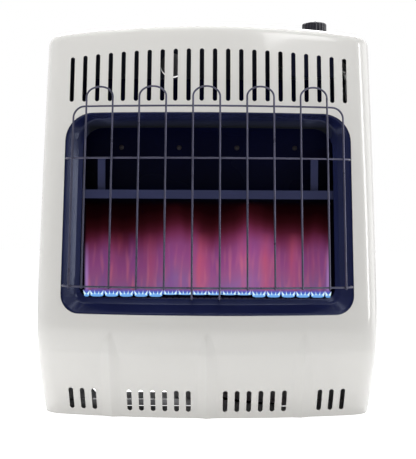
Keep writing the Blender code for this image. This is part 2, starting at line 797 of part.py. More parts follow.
def rear_outline(inset):
    """The casing's outline at its rear edge, drawn in by inset, in (x, z)."""
    right = [(half_width(z) - inset, z) for z in wall_heights()]
    side = column_count() - 1
    for step in range(ROLL_STEPS + 1):
        x, _, z = roll_point(side, step, inset)
        right.append((x, z))
    for k in reversed(range(side - 1)):
        x = roll_point(k, ROLL_STEPS)[0]
        right.append((x, top_z(x) - inset))
    return right + [(-x, z) for x, z in reversed(right[:-1])]


def make_rear_panel():
    """A tray of bright steel: flat back with a flange all round, its openings and hanging holes."""
    outline = rear_outline(CASING_WALL + GAP)
    panel = plate("rear_panel", [outline], FLANGE, front_plane(REAR_Y - FLANGE / 2), bright_steel())
    hollow = rear_outline(CASING_WALL + GAP + SHEET)
    hollow[0] = (hollow[0][0], SHEET)
    hollow[-1] = (hollow[-1][0], SHEET)
    reach = 0.040
    middle = REAR_Y - SHEET - reach / 2
    left = CUTOUT_SIDE_MARGIN - CASING_WIDTH / 2
    right = left + CUTOUT_WIDTH
    low, high = CUTOUT_BOTTOM_Z, CUTOUT_BOTTOM_Z + CUTOUT_HEIGHT
    hose_opening = [
        (left + CUTOUT_SLANT, low), (right - CUTOUT_SLANT, low), (right, low + CUTOUT_SLANT), (right, high),
        (left, high), (left, low + CUTOUT_SLANT),
    ]
    lead_hole = circle(LEAD_HOLE_X, CASING_HEIGHT - LEAD_HOLE_DROP, LEAD_HOLE_RADIUS, 24)
    cutters = [
        plate("tray_cutter", [hollow], reach, front_plane(middle), cutter=True),
        plate("opening_cutter", [hose_opening, lead_hole], reach, front_plane(REAR_Y), cutter=True),
    ]
    hanger_z = CASING_HEIGHT - HANGER_DROP
    for k, x in enumerate((-HANGER_SPACING / 2, HANGER_SPACING / 2)):
        keyhole = keyhole_outline(x, hanger_z)
        cutters.append(plate(f"hanger_cutter_{k}", [keyhole], reach, front_plane(REAR_Y), cutter=True))
    return cut(panel, *cutters, *screw_hole_cutters("panel"))


def make_floor_pan():
    """Flat pan inside the casing's foot, with slits for air."""
    inset = 1.3 * CASING_WALL + 2 * GAP
    right = []
    for k in range(column_count() - 1):
        x, y = casing_column(k, 0.0, inset)
        right.append((x, y))
    right.append((right[-1][0], REAR_Y - FLANGE - GAP))
    outline = right + [(-x, y) for x, y in reversed(right[1:])]
    middle = REAR_Y - PAN_SLIT_SETBACK
    slits = [
        rectangle(left, middle - PAN_SLIT_WIDTH / 2, left + length, middle + PAN_SLIT_WIDTH / 2)
        for left, length in PAN_SLITS
    ]
    return plate(
        "floor_pan", [outline] + slits, PAN_THICKNESS, level_plane(PAN_THICKNESS / 2), bright_steel()
    )


# Firebox

def make_firebox_side(name, sign):
    """Side plate whose front edge follows the trim and whose rear reaches the rear panel."""
    x = FIREBOX_HALF + SHEET / 2
    heights = [FIREBOX_BOTTOM_Z + (FIREBOX_SIDE_TOP_Z - FIREBOX_BOTTOM_Z) * k / 6 for k in range(7)]
    front = [(face_y(x, z) + BEHIND_TRIM, z) for z in heights]
    rear = INSIDE_REAR_Y
    outline = front + [
        (FIREBOX_BACK_Y - 0.008, FIREBOX_SIDE_TOP_Z), (FIREBOX_BACK_Y - 0.008, FIREBOX_BACK_TOP_Z),
        (rear, FIREBOX_BACK_TOP_Z), (rear, FIREBOX_BOTTOM_Z),
    ]
    outlines = [outline]
    if sign > 0:
        outlines.append(circle(BURNER_Y, MIXER_Z, MIXER_RADIUS + 2 * GAP, 20))
    return plate(name, outlines, SHEET, side_plane(sign * x), navy_enamel())


def make_firebox_back():
    half = FIREBOX_HALF - GAP
    edge = rectangle(-half, FIREBOX_BOTTOM_Z, half, FIREBOX_BACK_TOP_Z)
    holes = [circle(x, FIREBOX_SCREW_Z, SCREW_HOLE_RADIUS, 10) for x in FIREBOX_SCREW_X]
    return plate(
        "firebox_back", [edge] + holes, SHEET, front_plane(FIREBOX_BACK_Y + SHEET / 2), navy_enamel()
    )


def make_baffle():
    """Shelf across the firebox with a lip down at the front and two flanged tabs up."""
    half = FIREBOX_HALF - GAP
    rear = FIREBOX_BACK_Y - GAP
    front = rear - BAFFLE_DEPTH
    shelf_top = BAFFLE_Z + SHEET
    profile = [
        (front, BAFFLE_Z - BAFFLE_LIP), (front + SHEET, BAFFLE_Z - BAFFLE_LIP), (front + SHEET, BAFFLE_Z),
        (rear, BAFFLE_Z), (rear, shelf_top), (front, shelf_top),
    ]
    baffle = plate("baffle", [profile], 2 * half, side_plane(0.0), navy_enamel())
    outer = FIREBOX_HALF - BAFFLE_TAB_INSET
    flange_front = front + BAFFLE_TAB_SETBACK
    tabs = []
    for k, sign in enumerate((-1, 1)):
        outline = [
            (sign * outer, flange_front), (sign * outer, rear - 2 * SHEET),
            (sign * (outer - SHEET), rear - 2 * SHEET), (sign * (outer - SHEET), flange_front + SHEET),
            (sign * (outer - BAFFLE_TAB_FLANGE), flange_front + SHEET),
            (sign * (outer - BAFFLE_TAB_FLANGE), flange_front),
        ]
        height = BAFFLE_TAB_HEIGHT + SHEET / 2
        middle = level_plane(shelf_top - SHEET / 2 + height / 2)
        tabs.append(plate(f"baffle_tab_{k}", [outline], height, middle, cutter=True))
    return join(baffle, *tabs)


def make_burner_shelf():
    """Firebox floor with one opening that the burner and the pilot stand in."""
    half = FIREBOX_HALF - GAP
    across = [-half + 2 * half * k / 10 for k in range(11)]
    front = [(x, face_y(x, SHELF_Z) + BEHIND_TRIM + WIRE + 2 * GAP) for x in across]
    edge = front + [(half, FIREBOX_BACK_Y - GAP), (-half, FIREBOX_BACK_Y - GAP)]
    burner_half = BURNER_LENGTH / 2 + BURNER_OPENING / 2
    rear = BURNER_Y + BURNER_WIDTH / 2 + BURNER_OPENING
    front_edge = BURNER_Y - BURNER_WIDTH / 2 - BURNER_OPENING
    notch = PILOT_Y - PILOT_PITCH + PILOT_STEM_RADIUS
    notch_left, notch_right = PILOT_X - 1.6 * PILOT_PITCH, PILOT_X + 1.6 * PILOT_PITCH
    opening = [
        (-burner_half, front_edge), (notch_left, front_edge), (notch_left, notch), (notch_right, notch),
        (notch_right, front_edge), (burner_half, front_edge), (burner_half, rear), (-burner_half, rear),
    ]
    return plate("burner_shelf", [edge, opening], SHEET, level_plane(SHELF_Z + SHEET / 2), navy_enamel())


def make_firebox_screws():
    for k, x in enumerate(FIREBOX_SCREW_X, 1):
        seat = FIREBOX_BACK_Y - GAP
        profile = (
            (0.0, SCREW_HEAD), (0.7 * SCREW_HEAD_RADIUS, SCREW_HEAD), (SCREW_HEAD_RADIUS, 0.4 * SCREW_HEAD),
            (SCREW_HEAD_RADIUS, 0.0), (SCREW_SHANK_RADIUS, 0.0), (SCREW_SHANK_RADIUS, -SCREW_LENGTH),
            (0.0, -SCREW_LENGTH),
        )
        turned(f"firebox_screw_{k}", profile, (x, seat, FIREBOX_SCREW_Z), bright_steel(), "Y", 10)


def make_casing_screws():
    number = 0
    for z in CASING_SCREW_Z:
        for sign in (-1, 1):
            number += 1
            seat = half_width(z) + GAP
            profile = [
                (0.0, SCREW_HEAD), (0.7 * SCREW_HEAD_RADIUS, SCREW_HEAD), (SCREW_HEAD_RADIUS, 0.4 * SCREW_HEAD),
                (SCREW_HEAD_RADIUS, 0.0), (SCREW_SHANK_RADIUS, 0.0), (SCREW_SHANK_RADIUS, -SCREW_LENGTH),
                (0.0, -SCREW_LENGTH),
            ]
            screw = turned(
                f"casing_screw_{number}", profile, (sign * seat, REAR_Y - FLANGE / 2, z),
                bright_steel(), "X", 10
            )
            if sign < 0:
                screw.rotation_euler = (0, -math.pi / 2, 0)


# Burner and pilot

def make_burner_tube():
    """Pressed burner body with a row of cross slots for its flames."""
    half_depth = BURNER_WIDTH / 2
    outline = []
    for y, z, start in (
        (half_depth, BURNER_TOP_Z, 0.0), (-half_depth, BURNER_TOP_Z, 90.0),
        (-half_depth, BURNER_BOTTOM_Z, 180.0), (half_depth, BURNER_BOTTOM_Z, 270.0),
    ):
        centre_y = BURNER_Y + y - math.copysign(BURNER_ROUND, y)
        centre_z = z + (BURNER_ROUND if z < BURNER_TOP_Z else -BURNER_ROUND)
        for k in range(4):
            angle = math.radians(start + 30 * k)
            along, up = BURNER_ROUND * math.cos(angle), BURNER_ROUND * math.sin(angle)
            outline.append((centre_y + along, centre_z + up))
    burner = plate("burner_tube", [outline], BURNER_LENGTH, side_plane(0.0), navy_enamel())
    pitch = (BURNER_LENGTH - 2 * PORT_END_MARGIN) / PORT_COUNT
    ports = []
    for k in range(PORT_COUNT):
        x = pitch * (k - (PORT_COUNT - 1) / 2)
        low = (x - PORT_WIDTH / 2, BURNER_Y - PORT_LENGTH / 2)
        high = (x + PORT_WIDTH / 2, BURNER_Y + PORT_LENGTH / 2)
        ports.append(rectangle(*low, *high))
    return cut(burner, plate("port_cutter", ports, 2 * PORT_DEPTH, level_plane(BURNER_TOP_Z), cutter=True))


def injector_places():
    """Along X: the mixing tube's start and mouth, and the injector's tip and base."""
    base = HOLDER_X - HOLDER_SIZE / 2 - GAP
    tip = base - INJECTOR_LENGTH
    return BURNER_LENGTH / 2 + GAP, tip + INJECTOR_REACH, tip, base


def make_mixer_tube():
    """Mixing tube that opens in a bell towards the injector."""
    start, mouth, _, _ = injector_places()
    neck_end = start + 0.45 * (mouth - start)
    flare = MIXER_MOUTH_RADIUS - MIXER_RADIUS
    profile = [(MIXER_MOUTH_RADIUS, mouth), (MIXER_RADIUS + 0.6 * flare, mouth - 1.5 * flare)]
    profile += [(MIXER_RADIUS + 0.15 * flare, neck_end + flare), (MIXER_RADIUS, neck_end)]
    profile += [(MIXER_RADIUS, start)]
    inner = [(radius - MIXER_WALL, height) for radius, height in reversed(profile)]
    return turned(
        "mixer_tube", profile + inner, (0, BURNER_Y, MIXER_Z), navy_enamel(), "X", 18, closed=True
    )


def make_burner_bracket(name, sign):
    """Folded strip from the shelf down under the burner's end."""
    inner = BURNER_LENGTH / 2 + BRACKET_SIDE_SPACE
    outer = inner + SHEET
    edge = FIREBOX_HALF - 2 * GAP
    low = BURNER_BOTTOM_Z - GAP - SHEET
    top = SHELF_Z - GAP
    reach = BURNER_LENGTH / 2 - BRACKET_REACH
    profile = [
        (reach, low), (outer, low), (outer, top - SHEET), (edge, top - SHEET), (edge, top), (inner, top),
        (inner, low + SHEET), (reach, low + SHEET),
    ]
    outline = [(sign * x, z) for x, z in profile]
    depth = BURNER_WIDTH - BURNER_ROUND
    bracket = plate(name, [outline], depth, front_plane(BURNER_Y), bright_steel())
    if sign > 0:
        hole = rod("mixer_cutter", MIXER_RADIUS + GAP, inner - 2 * SHEET, outer + 2 * SHEET,
                   (0, BURNER_Y, MIXER_Z), axis="X", steps=18, cutter=True)
        cut(bracket, hole)
    return bracket


def make_injector():
    _, _, tip, base = injector_places()
    turned(
        "gas_injector", ((0.0, base), (0.0055, base), (0.0055, base - 0.4 * INJECTOR_LENGTH),
                         (0.003, base - 0.5 * INJECTOR_LENGTH), (0.002, tip), (0.0, tip)),
        (0, BURNER_Y, MIXER_Z), brass(), "X", 12,
    )
    half = HOLDER_SIZE / 2
    box("injector_holder", (HOLDER_X - half, BURNER_Y - half, MIXER_Z - half),
        (HOLDER_X + half, BURNER_Y + half, MIXER_Z + half), brass(), bevel=0.1 * HOLDER_SIZE)


def make_pilot():
    """Bracket on the burner's front with the pilot, the thermocouple and the spark electrode."""
    front = BURNER_Y - BURNER_WIDTH / 2 - GAP
    left, right = PILOT_X - 1.5 * PILOT_PITCH, PILOT_X + 1.5 * PILOT_PITCH
    places = {"thermocouple": PILOT_X - PILOT_PITCH, "pilot": PILOT_X, "electrode": PILOT_X + PILOT_PITCH}
    low, top = PILOT_PLATE_Z, SHELF_Z - BURNER_OPENING
    lip = PILOT_Y - 4 * PILOT_STEM_RADIUS
    profile = [
        (lip, low), (front, low), (front, top), (front - SHEET, top), (front - SHEET, low + SHEET),
        (lip, low + SHEET),
    ]
    bracket = plate("pilot_bracket", [profile], right - left, side_plane((left + right) / 2), bright_steel())
    holes = [
        rod(f"{name}_hole_cutter", PILOT_STEM_RADIUS + GAP, -3 * SHEET, 4 * SHEET, (x, PILOT_Y, low), steps=14,
            cutter=True)
        for name, x in places.items()
    ]
    cut(bracket, *holes)
    stand = PILOT_PLATE_Z + SHEET + GAP
    turned(
        "pilot_burner",
        ((0.0, 0.024), (0.004, 0.024), (0.0055, 0.020), (0.0055, 0.012), (0.0045, 0.010), (0.0045, 0.0),
         (PILOT_STEM_RADIUS, 0.0), (PILOT_STEM_RADIUS, -PILOT_STEM), (0.0, -PILOT_STEM)),
        (places["pilot"], PILOT_Y, stand), brass(), "Z", 14,
    )
    turned(
        "thermocouple",
        ((0.0, 0.026), (0.0018, 0.025), (0.0024, 0.022), (0.0024, 0.006), (0.0042, 0.006), (0.0042, 0.0),
         (PILOT_STEM_RADIUS, 0.0), (PILOT_STEM_RADIUS, -PILOT_STEM), (0.0, -PILOT_STEM)),
        (places["thermocouple"], PILOT_Y, stand), bare_tube(), "Z", 12,
    )
    turned(
        "spark_electrode",
        ((0.0, 0.026), (0.001, 0.026), (0.001, 0.015), (0.0032, 0.014), (0.0042, 0.004), (0.0042, 0.0),
         (PILOT_STEM_RADIUS, 0.0), (PILOT_STEM_RADIUS, -PILOT_STEM), (0.0, -PILOT_STEM)),
        (places["electrode"], PILOT_Y, stand), ceramic(), "Z", 12,
    )
    return places, stand - PILOT_STEM - GAP


# Controls

def make_valve():
    """Valve block with its neck, port bosses and the bore that the spindle moves in."""
    low = (KNOB_X - VALVE_WIDTH / 2, KNOB_Y - VALVE_DEPTH / 2, VALVE_BOTTOM_Z)
    high = (KNOB_X + VALVE_WIDTH / 2, KNOB_Y + VALVE_DEPTH / 2, VALVE_TOP_Z)
    body = box("gas_valve_body", low, high, cast_aluminium(), bevel=0.003)
    neck = rod(
        "valve_neck", VALVE_NECK_RADIUS, -VALVE_NECK, VALVE_NECK, (KNOB_X, KNOB_Y, VALVE_TOP_Z),
        steps=20, cutter=True,
    )
    join(body, neck)
    side = high[0]
    for k, (y, z, radius) in enumerate(port_places().values()):
        place = (side, y, z)
        boss = rod(f"port_boss_{k}", radius, -PORT_BOSS, PORT_BOSS, place, axis="X", steps=12, cutter=True)
        join(body, boss)
    bore = rod(
        "spindle_bore", SPINDLE_RADIUS + GAP, -SPINDLE_BORE, 2 * VALVE_NECK, (KNOB_X, KNOB_Y, VALVE_TOP_Z),
        steps=20, cutter=True,
    )
    return cut(body, bore)


def port_places():
    """Port name to (y, z, boss radius) on the valve's right side."""
    middle = VALVE_BOTTOM_Z + VALVE_HEIGHT / 2
    return {
        "inlet": (KNOB_Y + 0.011, middle + 0.008, 0.0075),
        "burner": (KNOB_Y - 0.008, middle - 0.010, 0.0065),
        "pilot": (KNOB_Y + 0.009, middle - 0.014, 0.0045),
        "thermocouple": (KNOB_Y - 0.016, middle + 0.008, 0.0040),
    }


def make_valve_bracket():
    """Dark folded bracket: base under the valve, riser in front of it and a shelf for the igniter."""
    front, rear = KNOB_Y - BRACKET_REACH_FRONT, INSIDE_REAR_Y
    left, right = BRACKET_LEFT_X, KNOB_X + VALVE_WIDTH / 2 + BRACKET_RIGHT_SPACE
    thickness = BRACKET_SHEET
    low, top = VALVE_BASE_Z, IGNITER_SHELF_Z + thickness / 2
    profile = [
        (front, low), (rear, low), (rear, low + thickness), (front + thickness, low + thickness),
        (front + thickness, top), (front, top),
    ]
    bracket = plate("valve_bracket", [profile], right - left, side_plane((left + right) / 2), navy_enamel())
    shelf = plate(
        "bracket_shelf",
        [rectangle(IGNITER_X - 2 * IGNITER_RADIUS, front + thickness / 2, left + IGNITER_RADIUS,
                   KNOB_Y + 1.8 * IGNITER_RADIUS),
         circle(IGNITER_X, KNOB_Y, IGNITER_NECK_RADIUS + GAP, 20)],
        thickness, level_plane(IGNITER_SHELF_Z + thickness / 2), cutter=True,
    )
    return join(bracket, shelf)


def make_knob():
    """Turning plug, sliding spindle and the ribbed knob on it. Their origins lie on the knob's axis."""
    bore = SPINDLE_RADIUS + GAP
    turned("valve_plug", ((PLUG_RADIUS, PLUG_HEIGHT), (PLUG_RADIUS, 0.0), (bore, 0.0), (bore, PLUG_HEIGHT)),
           (KNOB_X, KNOB_Y, PLUG_LOW_Z), bright_steel(), "Z", 20, closed=True)
    spindle_top = KNOB_TOP_Z - SPINDLE_SEAT
    spindle_low = VALVE_TOP_Z - SPINDLE_BORE + KNOB_TRAVEL + 3 * GAP
    rod("valve_spindle", SPINDLE_RADIUS, 0.0, spindle_top - spindle_low, (KNOB_X, KNOB_Y, spindle_low),
        bright_steel())
    shoulder = KNOB_HEIGHT - KNOB_CROWN
    profile = [(0.0, shoulder)]
    for k in range(5):
        angle = math.pi / 2 * k / 4
        inward, down = KNOB_EDGE * (1 - math.sin(angle)), KNOB_EDGE * (1 - math.cos(angle))
        profile.append((KNOB_RADIUS - inward, shoulder - down))
    seat = KNOB_HEIGHT - SPINDLE_SEAT + GAP
    profile += [(KNOB_RADIUS, 0.0), (bore, 0.0), (bore, seat), (0.0, seat)]
    knob = turned("control_knob", profile, (KNOB_X, KNOB_Y, KNOB_LOW_Z), black_plastic(), "Z", 40)
    grooves = []
    for k in range(KNOB_RIBS):
        angle = 2 * math.pi * (k + 0.5) / KNOB_RIBS
        x = KNOB_X + (KNOB_RADIUS + KNOB_RIB_RADIUS / 3) * math.cos(angle)
        y = KNOB_Y + (KNOB_RADIUS + KNOB_RIB_RADIUS / 3) * math.sin(angle)
        grooves.append(circle(x, y, KNOB_RIB_RADIUS, 6))
    groove_top = KNOB_LOW_Z + KNOB_HEIGHT * 1.25
    groove_cutter = plate("knob_groove_cutter", grooves, 2 * KNOB_HEIGHT, level_plane(groove_top - KNOB_HEIGHT),
                          cutter=True)
    pointer = box(
        "knob_pointer", (KNOB_X - KNOB_CROWN, KNOB_Y - 0.7 * KNOB_RADIUS, KNOB_TOP_Z - 3 * KNOB_CROWN),
        (KNOB_X + KNOB_CROWN, KNOB_Y, KNOB_TOP_Z), cutter=True,
    )
    return join(cut(knob, groove_cutter), pointer)


def make_igniter():
    """Spark unit under the bracket's shelf, its nut above, and the button that is pressed."""
    shelf_top = IGNITER_SHELF_Z + BRACKET_SHEET
    bore = IGNITER_PLUNGER_RADIUS + GAP
    body = (
        (0.0, -IGNITER_BORE), (bore, -IGNITER_BORE), (bore, IGNITER_NECK), (IGNITER_NECK_RADIUS, IGNITER_NECK),
        (IGNITER_NECK_RADIUS, -GAP), (IGNITER_RADIUS, -GAP), (IGNITER_RADIUS, -IGNITER_LENGTH),
        (0.0, -IGNITER_LENGTH),
    )
    turned("igniter_body", body, (IGNITER_X, KNOB_Y, IGNITER_SHELF_Z), black_plastic(), "Z", 20)
    hexagon = circle(IGNITER_X, KNOB_Y, IGNITER_NUT_RADIUS, 6)
    plate(
        "igniter_nut", [hexagon, circle(IGNITER_X, KNOB_Y, IGNITER_NECK_RADIUS + GAP, 20)], IGNITER_NUT,
        level_plane(shelf_top + GAP + IGNITER_NUT / 2), bright_steel(),
    )
    stem = IGNITER_TOP_Z - (IGNITER_SHELF_Z - IGNITER_BORE + IGNITER_TRAVEL + 2 * GAP)
    head = IGNITER_BUTTON_HEIGHT
    button = (
        (0.0, 0.0), (IGNITER_BUTTON_RADIUS - 0.2 * head, 0.0), (IGNITER_BUTTON_RADIUS, -0.12 * head),
        (IGNITER_BUTTON_RADIUS, -head), (IGNITER_PLUNGER_RADIUS, -head), (IGNITER_PLUNGER_RADIUS, -stem),
        (0.0, -stem),
    )
    return turned("igniter_button", button, (IGNITER_X, KNOB_Y, IGNITER_TOP_Z), black_plastic(), "Z", 20)


# Gas line

def make_regulator():
    """Two-part round regulator that stands off the rear panel, with its outlet on top and inlet at the left."""
    radius = REGULATOR_RADIUS
    depth = INSIDE_REAR_Y - REGULATOR_SPLIT_Y
    body = turned(
        "regulator_body",
        ((0.0, 0.0), (radius, 0.0), (radius, -0.004), (0.72 * radius, -0.010), (0.6 * radius, -0.022),
         (0.35 * radius, -0.026), (0.35 * radius, -depth), (0.0, -depth)),
        (REGULATOR_X, REGULATOR_SPLIT_Y, REGULATOR_Z), cast_aluminium(), "Y", 24,
    )
    port = (REGULATOR_X, REGULATOR_SPLIT_Y + REGULATOR_PORT, REGULATOR_Z)
    outlet = rod("outlet_boss", 0.24 * radius, 0.0, radius + REGULATOR_BOSS, port, steps=12, cutter=True)
    inlet = rod(
        "inlet_boss", 0.26 * radius, -radius - REGULATOR_BOSS, 0.0, port, axis="X", steps=12, cutter=True
    )
    join(body, outlet, inlet)
    height = REGULATOR_CAP
    turned(
        "regulator_cap",
        ((0.0, height), (0.3 * radius, height), (0.34 * radius, 0.9 * height), (0.36 * radius, 0.48 * height),
         (0.8 * radius, 0.28 * height), (0.86 * radius, 0.19 * height), (radius, 0.19 * height), (radius, GAP),
         (0.0, GAP)),
        (REGULATOR_X, REGULATOR_SPLIT_Y, REGULATOR_Z), black_plastic(), "Y", 24,
    )
    start = radius + REGULATOR_BOSS + GAP
    turned(
        "inlet_fitting",
        ((0.0, -start), (0.25 * radius, -start), (0.25 * radius, -start - 0.4 * INLET_LENGTH),
         (0.19 * radius, -start - 0.43 * INLET_LENGTH), (0.19 * radius, -start - 0.87 * INLET_LENGTH),
         (0.13 * radius, -start - INLET_LENGTH), (0.0, -start - INLET_LENGTH)),
        port, brass(), "X", 16,
    )


def make_gas_line(pilot_places, pilot_foot):
    """Pipes, tubes and leads between the regulator, the valve, the burner and the pilot."""
    ports = port_places()
    port_x = KNOB_X + VALVE_WIDTH / 2 + PORT_BOSS + GAP
    low, base, side = FIREBOX_BOTTOM_Z, VALVE_BASE_Z, FIREBOX_OUTSIDE
    half_way = (low + base) / 2
    outlet_z = REGULATOR_Z + REGULATOR_RADIUS + REGULATOR_BOSS + GAP
    outlet_y = REGULATOR_SPLIT_Y + REGULATOR_PORT
    back = outlet_y + INLET_PIPE / 5
    x = side + INLET_CHANNEL
    y, z, _ = ports["inlet"]
    inlet_route = (
        (REGULATOR_X, outlet_y, outlet_z), (REGULATOR_X, outlet_y, outlet_z + 0.010),
        ((REGULATOR_X + x) / 2 - 0.008, back, low - 0.022), (x - 0.007, back, low + 0.006),
        (x, back, low + 0.040), (x, back, half_way), (x, back, base - 0.033),
        (x - 0.002, y + 0.0185, base + 0.009), (port_x + 0.014, y + 0.003, z - 0.002),
        (port_x + 0.006, y, z), (port_x, y, z),
    )
    wire("inlet_pipe", smooth_route(inlet_route, 0.018), INLET_PIPE, bare_tube())
    y, z, _ = ports["burner"]
    x = HOLDER_X
    holder_top = MIXER_Z + HOLDER_SIZE / 2 + GAP
    burner_route = (
        (port_x, y, z), (port_x + 0.008, y, z), (port_x + 0.024, y - 0.003, z - 0.006),
        (x - 0.006, y - 0.008, base - 0.018), (x - 0.004, y - 0.016, base - 0.073),
        (x, (y + BURNER_Y) / 2 - 0.013, half_way - 0.020),
        (x, BURNER_Y, holder_top + 0.037), (x, BURNER_Y, holder_top + 0.010), (x, BURNER_Y, holder_top),
    )
    wire("burner_pipe", smooth_route(burner_route, 0.018), BURNER_PIPE, bare_tube())
    y, z, _ = ports["pilot"]
    start = pilot_places["pilot"]
    x = side + PILOT_CHANNEL
    run = BURNER_Y - BURNER_WIDTH / 2
    level = low - 0.026
    pilot_route = (
        (start, PILOT_Y, pilot_foot), (start, PILOT_Y, pilot_foot - 0.005),
        (start + 0.006, PILOT_Y + 0.012, level), (start + 0.030, run, level), (0.020, run, level + 0.002),
        (side - 0.034, run, level + 0.004), (x - 0.0115, KNOB_Y - 0.036, level + 0.006),
        (x, KNOB_Y - 0.006, low), (x, KNOB_Y - 0.002, low + 0.050), (x, KNOB_Y - 0.002, half_way),
        (x, KNOB_Y - 0.001, base - 0.023), (port_x + 0.012, y - 0.002, z - 0.006),
        (port_x + 0.005, y, z), (port_x, y, z),
    )
    wire("pilot_tube", smooth_route(pilot_route), PILOT_TUBE, bare_tube(), 6)
    y, z, _ = ports["thermocouple"]
    start = pilot_places["thermocouple"]
    x = side + LEAD_CHANNEL
    level = low - 0.031
    run = PILOT_Y - 0.006
    lead_route = (
        (start, PILOT_Y, pilot_foot), (start, PILOT_Y, pilot_foot - 0.005), (start + 0.010, run, level),
        (0.000, run, level), (side - 0.029, run + 0.002, level), (x - 0.0025, KNOB_Y - 0.064, level),
        (x, KNOB_Y - 0.036, level), (x, KNOB_Y - 0.018, low - 0.020), (x, KNOB_Y - 0.014, low + 0.020),
        (x, KNOB_Y - 0.014, half_way), (x, KNOB_Y - 0.014, base - 0.023), (x, y + 0.001, base + 0.019),
        (port_x + 0.003, y, z), (port_x, y, z),
    )
    wire("thermocouple_lead", smooth_route(lead_route), THERMOCOUPLE_LEAD, bare_tube(), 6)
    start = pilot_places["electrode"]
    x = IGNITER_X
    foot = IGNITER_SHELF_Z - IGNITER_LENGTH - GAP
    slack = PAN_THICKNESS + IGNITION_CABLE / 2
    cable_route = (
        (start, PILOT_Y, pilot_foot), (start, PILOT_Y, pilot_foot - 0.006),
        (start, PILOT_Y + 0.004, low - 0.032), (-0.105, -0.020, low - 0.058), (-0.050, 0.012, 0.050),
        (0.000, 0.026, 0.028), (0.028, 0.050, 0.0132), (0.070, 0.050, slack + 0.0032),
        (x - 0.008, 0.048, slack + 0.0012), (x + 0.008, 0.056, slack + 0.005), (x + 0.008, 0.070, 0.034),
        (x + 0.005, outlet_y + 0.002, REGULATOR_Z + 0.020), (x, outlet_y + 0.004, low),
        (x, outlet_y + 0.004, half_way), (x, outlet_y + 0.004, foot - 0.055),
        (x, outlet_y - 0.002, foot - 0.028), (x, KNOB_Y + 0.0135, foot - 0.0113),
        (x, KNOB_Y, foot - 0.006), (x, KNOB_Y, foot),
    )
    wire("ignition_cable", smooth_route(cable_route), IGNITION_CABLE, black_plastic(), 6)


def make_thermostat():
    """Sensing bulb clipped low on the rear panel, with its thin tube to the valve's left side."""
    rod("thermostat_bulb", BULB_RADIUS, 0.0, BULB_LENGTH, (BULB_X, BULB_Y, BULB_Z), bare_tube(), "X", 12)
    inner, outer = BULB_RADIUS + GAP, BULB_RADIUS + GAP + SHEET
    opening = math.radians(50)
    arc = [math.pi + opening + (2 * math.pi - 2 * opening) * k / 10 for k in range(11)]
    outline = [(BULB_Y + inner * math.cos(angle), BULB_Z + inner * math.sin(angle)) for angle in arc]
    outline += [(BULB_Y + outer * math.cos(angle), BULB_Z + outer * math.sin(angle)) for angle in reversed(arc)]
    middle = BULB_X + BULB_LENGTH / 2
    clip = plate("bulb_clip", [outline], CLIP_WIDTH, side_plane(middle), bright_steel())
    foot = box(
        "clip_foot", (middle - CLIP_WIDTH / 2, BULB_Y + inner + SHEET / 2, BULB_Z - CLIP_WIDTH / 4),
        (middle + CLIP_WIDTH / 2, INSIDE_REAR_Y, BULB_Z + CLIP_WIDTH / 4), cutter=True,
    )
    join(clip, foot)
    valve_left = KNOB_X - VALVE_WIDTH / 2 - GAP
    x = BRACKET_LEFT_X - 0.005
    end = BULB_X + BULB_LENGTH
    leave = VALVE_BASE_Z + 0.4 * VALVE_HEIGHT
    route = (
        (valve_left, KNOB_Y + 0.0095, leave), (valve_left - 0.007, KNOB_Y + 0.0105, leave),
        (x, KNOB_Y + 0.0215, leave - 0.006), (x - 0.001, BULB_Y - 0.010, VALVE_BASE_Z - 0.013),
        (x, BULB_Y - 0.004, VALVE_BASE_Z - 0.103), (x - 0.002, BULB_Y - 0.002, BULB_Z + 0.160),
        (x - 0.020, BULB_Y - 0.001, BULB_Z + 0.040), (end + 0.022, BULB_Y, BULB_Z + 0.004),
        (end + 0.008, BULB_Y, BULB_Z), (end + GAP, BULB_Y, BULB_Z),
    )
    wire("capillary_tube", smooth_route(route), CAPILLARY, bare_tube(), 6)


# Wire guard

def guard_point(x, z, stand):
    return x, face_y(x, z) - stand, z


def make_guard_loops():
    """Hairpins, each one wire: up, over an oval top and down. The middle one hooks into the trim."""
    half = GUARD_PITCH / 2
    spring = LOOP_TOP_Z - LOOP_ARCH
    foot = BOTTOM_BAR_Z - WIRE
    for number in range(1, GUARD_LOOPS + 1):
        centre = (number - (GUARD_LOOPS + 1) / 2) * 2 * GUARD_PITCH + LOOP_SHIFT
        middle = number == (GUARD_LOOPS + 1) // 2
        heights = [foot + (spring - foot) * k / 6 for k in range(7)]
        left = [guard_point(centre - half, z, LOOP_STAND) for z in heights]
        right = [guard_point(centre + half, z, LOOP_STAND) for z in heights]
        arch = []
        for k in range(1, 8):
            angle = math.pi - math.pi * k / 8
            arch.append(
                guard_point(centre + half * math.cos(angle), spring + LOOP_ARCH * math.sin(angle), LOOP_STAND)
            )
        if middle:
            over = TRIM_INNER_BOTTOM_Z + WIRE / 2 + 3 * GAP
            lip = -(BEHIND_TRIM + WIRE / 2)
            hooks = [(lip, over - HOOK_DROP), (lip, over - WIRE / 2), (lip + WIRE / 2, over),
                     (LOOP_STAND - 0.010, over + 0.001), (LOOP_STAND - 0.003, over + 0.005)]
            left = [guard_point(centre - half, z, stand) for stand, z in hooks] + left
            right = [guard_point(centre + half, z, stand) for stand, z in hooks] + right
        wire(f"guard_loop_{number}", left + arch + right[::-1], WIRE, dark_wire())


